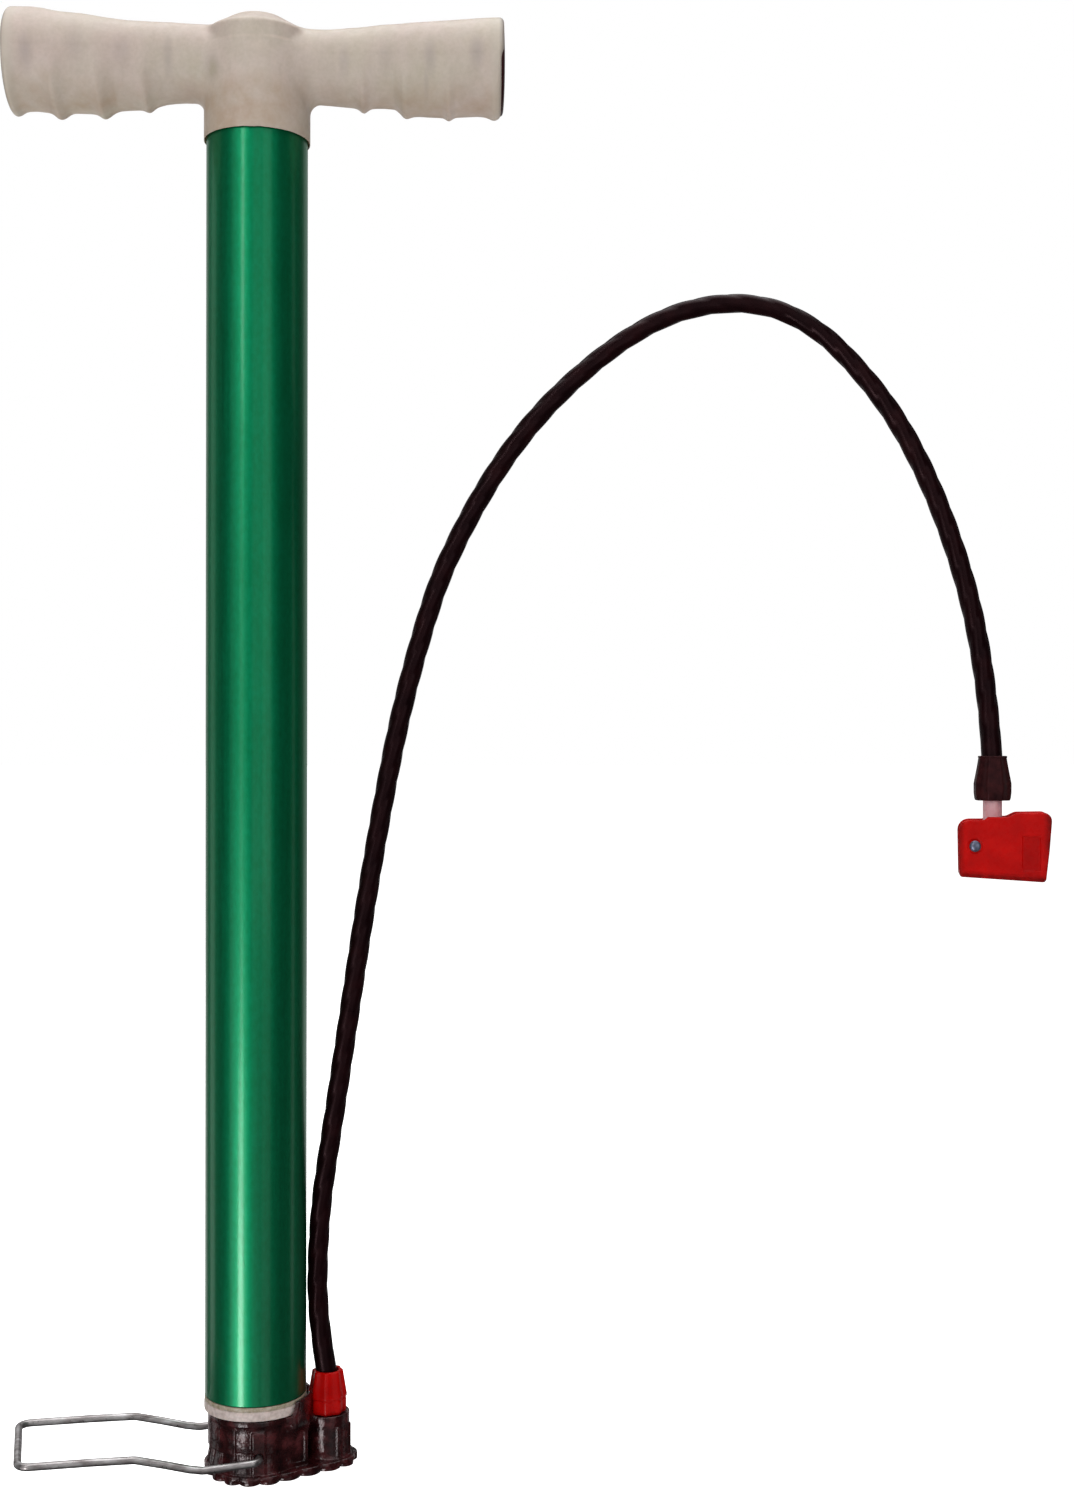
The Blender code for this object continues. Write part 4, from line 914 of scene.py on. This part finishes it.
def patch(x, z, wide, tall, power=2.0, front=True):
    """A soft spot on the handle, 1 in its middle; x and z are in millimetres on the handle's front."""
    dx = p.maths("MULTIPLY", p.maths("SUBTRACT", along, x * MM), 1.0 / (wide * MM))
    dz = p.maths("MULTIPLY", p.maths("SUBTRACT", high, z * MM), 1.0 / (tall * MM))
    far = p.maths("ADD", p.maths("MULTIPLY", dx, dx), p.maths("MULTIPLY", dz, dz))
    spot = p.maths("MAXIMUM", p.maths("SUBTRACT", 1.0, far), 0.0)
    return p.maths("POWER", spot, power) if not front else p.maths(
        "MULTIPLY", p.maths("POWER", spot, power), p.span(deep, -0.006, 0.002, 1.0, 0.0))


big = p.noise(24.0, 3.0, (1.0, 1.0, 1.5))
small = p.noise(4.0, 4.0, (1.0, 1.0, 1.6))
fine = p.noise(1.3, 3.0)
tint = p.ramp(big, (0.30, srgb(187, 179, 160)), (0.50, srgb(191, 178, 166)), (0.70, srgb(195, 175, 168)))
tint = p.mix(tint, p.ramp(small, (0.32, srgb(175, 162, 146)), (0.68, srgb(208, 194, 185))), 0.32)
tint = p.mix(tint, p.ramp(fine, (0.35, srgb(182, 169, 155)), (0.65, srgb(202, 189, 178))), 0.25)
# painted shade: greyish dark spots at the upper ends of the finger grooves and beside the hub, where shade falls
painted_groove_shade = None
for x, z, wide, tall, power in ((-81.5, 519.0, 4.0, 9.5, 0.9), (-64.0, 522.0, 4.5, 10.0, 0.45), (-47.5, 520.5, 5.0, 9.0, 0.50),
                                (-31.0, 519.5, 2.5, 10.0, 0.70), (-15.0, 515.5, 5.0, 7.0, 0.55),
                                (33.0, 518.5, 3.0, 8.5, 0.50), (48.5, 519.5, 4.0, 9.0, 0.45), (64.5, 519.5, 3.5, 10.0, 0.75),
                                (63.0, 511.0, 1.6, 9.0, 0.55), (81.5, 521.5, 4.0, 9.0, 0.85)):
    one = p.maths("MULTIPLY", patch(x, z, wide, tall), power)
    painted_groove_shade = one if painted_groove_shade is None else p.maths("MAXIMUM", painted_groove_shade, one)
painted_groove_shade = p.maths("MULTIPLY", painted_groove_shade, p.span(small, 0.3, 0.7, 0.65, 1.15))
tint = p.mix(tint, srgb(148, 134, 134), p.maths("MULTIPLY", painted_groove_shade, 0.50))
# painted shade: a brownish, darker tone towards the undersides of the grips, in noisy patches
painted_underside_shade = p.maths("MULTIPLY", p.span(high, 0.5140, 0.5045, 0.0, 1.0), p.span(p.noise(9.0, 3.0, shift=(0.4, 0, 0)), 0.35, 0.65, 0.15, 0.75))
tint = p.mix(tint, srgb(166, 138, 112), p.maths("MULTIPLY", painted_underside_shade, 0.75))
# painted highlight: a paler band near each grip's end; painted shade: a thin grey band at the very ends
rim = p.span(p.maths("ABSOLUTE", along), 0.0855, 0.0885, 0.0, 1.0)
tint = p.mix(tint, srgb(192, 184, 170), p.maths("MULTIPLY", rim, 0.45))
edge = p.span(p.maths("ABSOLUTE", along), 0.0896, 0.0912, 0.0, 1.0)
tint = p.mix(tint, srgb(128, 118, 116), p.maths("MULTIPLY", edge, 0.6))
# painted highlight: pale streaks across the hub's front; an olive mark on its left shoulder
for x, z, wide, tall, power in ((9.5, 525.4, 7.0, 1.0, 0.32), (-4.0, 525.0, 15.0, 0.9, 0.12), (2.0, 521.6, 5.0, 3.0, 0.16)):
    tint = p.mix(tint, srgb(226, 208, 196), p.maths("MULTIPLY", patch(x, z, wide, tall), power))
tint = p.mix(tint, srgb(150, 142, 112), p.maths("MULTIPLY", patch(-14.5, 515.0, 2.6, 5.0), 0.35))
p.link(tint, "Base Color")
p.link(p.span(p.noise(3.0, 3.0), 0.3, 0.7, 0.38, 0.56), "Roughness")
p.bump(p.noise(1.2, 3.0), 0.05, 0.35).bump(p.noise(8.0, 2.0), 0.25, 0.4)
wear(handle, paint_handle, "handle", ["handle"])

# the dark plugs in the grip's ends: a skirt inside, a bulging face with a rounded edge outside
for side, name, reach in ((-1.0, "grip_plug_left", PLUG_L), (1.0, "grip_plug_right", PLUG_R)):
    face = [(16.3 * math.sin(math.radians(a)), reach - 0.75 * (1 - math.cos(math.radians(a))))
            for a in range(0, 73, 8)]
    plug = lathe(name + "_skin", face + [(16.35, reach - 0.8), (16.8, reach - 1.3), (16.8, reach - 3.4), (15.6, reach - 4.0),
                                         (0.0, reach - 4.0)],
                 128, TURN @ Matrix.Translation((0, 0, GRIP_Z)) @ Matrix.Rotation(side * math.pi / 2, 4, "Y"))
    wear(plug, paint_black, "handle", [name])

# ------------------------------------------------------ what shows as it moves
paint_steel = Paint("ground_steel", srgb(196, 196, 200), 0.22, 1.0)
p = paint_steel
p.link(p.span(p.noise(0.8, 3.0, (1.0, 1.0, 0.15)), 0.3, 0.7, 0.16, 0.30), "Roughness")
p.link(p.ramp(p.noise(10.0, 3.0), (0.3, srgb(184, 184, 190)), (0.7, srgb(206, 206, 208))), "Base Color")
rod = lathe("piston_rod_skin", rounded([(0.0, 42.6), (3.0, 42.6), (3.0, 55.1), (4.0, 55.1), (4.0, 528.0), (0.0, 528.0)],
                                       [0, 0.4, 0, 0.3, 0.6, 0], 4), 64)
wear(rod, paint_steel, "handle", ["piston_rod"])

paint_zinc = Paint("zinc_plate", srgb(186, 184, 176), 0.34, 1.0)
p = paint_zinc
p.link(p.ramp(p.noise(3.0, 4.0), (0.3, srgb(164, 162, 150)), (0.7, srgb(206, 204, 200))), "Base Color")
p.link(p.span(p.noise(1.4, 3.0), 0.3, 0.7, 0.28, 0.44), "Roughness")
paint_guide = Paint("guide_plastic", srgb(208, 200, 186), 0.45, 0.0, Subsurface_Weight=0.15, Subsurface_Scale=0.002)
p = paint_guide
p.link(p.ramp(p.noise(6.0, 3.0), (0.3, srgb(198, 190, 174)), (0.7, srgb(218, 210, 198))), "Base Color")
p.bump(p.noise(0.8, 2.0), 0.05, 0.4)
paint_rubber = Paint("black_rubber", srgb(34, 32, 32), 0.60, 0.0)
p = paint_rubber
p.link(p.ramp(p.noise(2.0, 3.0), (0.3, srgb(26, 24, 24)), (0.7, srgb(44, 42, 42))), "Base Color")
p.bump(p.noise(0.6, 2.0), 0.05, 0.5)
paint_brass = Paint("turned_brass", srgb(206, 178, 112), 0.28, 1.0)
p = paint_brass
p.link(p.ramp(p.noise(2.0, 3.0), (0.3, srgb(190, 160, 92)), (0.7, srgb(218, 190, 124))), "Base Color")
p.link(p.span(p.noise(0.5, 2.0), 0.3, 0.7, 0.2, 0.36), "Roughness")
paint_leather = Paint("cup_leather", srgb(96, 64, 42), 0.62, 0.0)
p = paint_leather
p.link(p.ramp(p.noise(3.0, 4.0), (0.3, srgb(72, 46, 30)), (0.7, srgb(118, 82, 56))), "Base Color")
p.bump(p.voronoi(0.8), 0.10, 0.6)

guide = lathe("top_guide_skin", rounded([
    (4.3, 486.0), (6.5, 486.0), (6.5, 499.0), (15.5, 500.5), (15.5, 487.0), (17.7, 487.0), (17.7, 505.3),
    (18.8, 505.3), (18.8, 507.0), (4.3, 507.0)], [0.2, 0.3, 0.4, 0.4, 0.2, 0.3, 0, 0.2, 0.4, 0.3], 4), 96)
wear(guide, paint_guide, "barrel", ["top_guide"])
bumper = lathe("handle_bumper_skin", rounded([(4.3, 507.4), (7.2, 507.4), (7.2, 511.2), (4.3, 511.2)], 0.6, 5), 64)
wear(bumper, paint_rubber, "handle", ["handle_bumper"])

# the check valve's spring, which the ball squashes against the nipple as it lifts
coil = [(OUTLET_X + 1.7 * math.cos(k * math.pi / 18), 1.7 * math.sin(k * math.pi / 18), 11.35 + 4.05 * k / 126)
        for k in range(127)]
spring = tube_mesh("check_valve_spring_skin", coil, 0.22, 10)
wear(spring, paint_steel, "check_ball", ["check_valve_spring"])
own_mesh(spring)

for node in ("handle_washer", "rod_lock_nut", "piston_top_washer", "piston_spreader", "piston_nut"):
    dress(node, paint_zinc)
for node in ("check_valve_ball", "head_cam"):
    dress(node, paint_steel)
for node in ("barrel_seal", "outlet_seal", "valve_gland"):
    dress(node, paint_rubber)
dress("outlet_nipple", paint_brass)
dress("head_plunger", paint_guide)
dress("gland_cap", paint_black)
dress("piston_cup", paint_leather)


# ------------------------------------------------------------ floor and lights
def area(name, where, at, width, height, power, colour=(1, 1, 1), visible=False):
    light = bpy.data.lights.new(name, "AREA")
    light.shape = "RECTANGLE"
    light.size, light.size_y = width, height
    light.energy = power
    light.color = colour
    obj = bpy.data.objects.new(name, light)
    obj.location = where
    obj.rotation_mode = "QUATERNION"
    obj.rotation_quaternion = (Vector(at) - Vector(where)).to_track_quat("-Z", "Y")
    obj.visible_camera = visible
    bpy.context.scene.collection.objects.link(obj)
    return obj


def around(azimuth, distance, height):
    """A place seen from the object; azimuth 0 is towards the camera, positive to its left."""
    a = math.radians(azimuth)
    d = -AWAY * math.cos(a) - RIGHT * math.sin(a)
    return Vector((d.x * distance, d.y * distance, height))


floor = add_mesh("floor", np.array([(-1, -1, 0), (1, -1, 0), (1, 1, 0), (-1, 1, 0)]) * 30000.0,
                 np.array([[0, 1, 2, 3]]), None, 0.0)
floor.location.z = -0.0002
paint_floor = Paint("pale_floor", (0.93, 0.93, 0.93), 0.9, 0.0, Specular_IOR_Level=0.0)
p = paint_floor
p.link(p.ramp(p.noise(60.0, 2.0), (0.0, (0.925, 0.925, 0.925)), (1.0, (0.935, 0.935, 0.935))), "Base Color")
p.set("Emission Color", (1.0, 1.0, 1.0, 1.0))
p.set("Emission Strength", 1.1)
floor.data.materials.append(paint_floor.mat)
floor.visible_glossy = False
floor.visible_diffuse = False
floor.visible_shadow = False


def strip(name, azimuth, z0, z1, width, strength, gloss_only=False, distance=1.5):
    """An upright softbox beside the object, aimed level at its axis."""
    middle = 0.5 * (z0 + z1)
    obj = area(name, around(azimuth, distance, middle), (0, 0, middle), width, z1 - z0,
               4 * math.pi * width * (z1 - z0) * strength)
    obj.visible_diffuse = not gloss_only
    return obj


# a narrow strip beside a wide one to the left, softer ones to the right, one on top; their
# lower halves only show as reflections, the fills in front and from the floor only as light
strip("narrow_high", 24.5, 0.80, 1.90, 0.15, 2.60)
strip("narrow_mid", 25.5, 0.0, 0.80, 0.20, 0.46)
strip("narrow_low", 24.5, -0.22, -0.02, 0.15, 1.3, True)
strip("narrow_floor_near", 26.0, -0.44, -0.22, 0.28, 2.1, True)
strip("narrow_floor", 26.5, -1.20, -0.44, 0.30, 3.1, True)
strip("key", 33.0, 0.0, 1.90, 1.1, 0.13)
strip("key_low", 33.0, -1.20, 0.0, 1.1, 0.18, True)
strip("right", -31.0, 0.0, 1.90, 0.55, 0.31)
strip("right_low", -31.0, -1.20, 0.0, 0.55, 0.10, True)
strip("front_high", -8.0, 0.0, 1.90, 0.5, 0.19)
strip("front_low", -8.0, -1.20, 0.0, 0.5, 0.07, True)
strip("rim_left", 108.0, -0.60, 1.60, 0.5, 0.19)
strip("rim_right", -100.0, -0.60, 1.60, 0.25, 0.14)
strip("back_left", 155.0, -0.60, 1.60, 0.9, 0.16)
strip("back_right", -158.0, -0.60, 1.60, 0.9, 0.12)
area("top", (0.1, 0.1, 2.2), (0.1, 0.0, 0.0), 2.2, 2.2, 4 * math.pi * 2.2 * 2.2 * 0.70)
strip("front_fill", 0.0, 0.20, 1.60, 1.4, 0.37, distance=2.2).visible_glossy = False
area("floor_fill", (0.1, 0.0, -0.6), (0.1, 0.0, 0.5), 3.0, 3.0, 31.0).visible_glossy = False

world = bpy.data.worlds.new("studio")
bpy.context.scene.world = world
world.use_nodes = True
wt = world.node_tree
back = wt.nodes["Background"]
back.inputs["Color"].default_value = (1.0, 1.0, 1.0, 1.0)
back.inputs["Strength"].default_value = 0.04
seen = wt.nodes.new("ShaderNodeBackground")
seen.inputs["Color"].default_value = (1.0, 1.0, 1.0, 1.0)
seen.inputs["Strength"].default_value = 1.0
path = wt.nodes.new("ShaderNodeLightPath")
mixer = wt.nodes.new("ShaderNodeMixShader")
wt.links.new(path.outputs["Is Camera Ray"], mixer.inputs[0])
wt.links.new(back.outputs[0], mixer.inputs[1])
wt.links.new(seen.outputs[0], mixer.inputs[2])
wt.links.new(mixer.outputs[0], wt.nodes["World Output"].inputs["Surface"])

bpy.context.scene.view_settings.view_transform = "Standard"
bpy.context.scene.view_settings.look = "None"
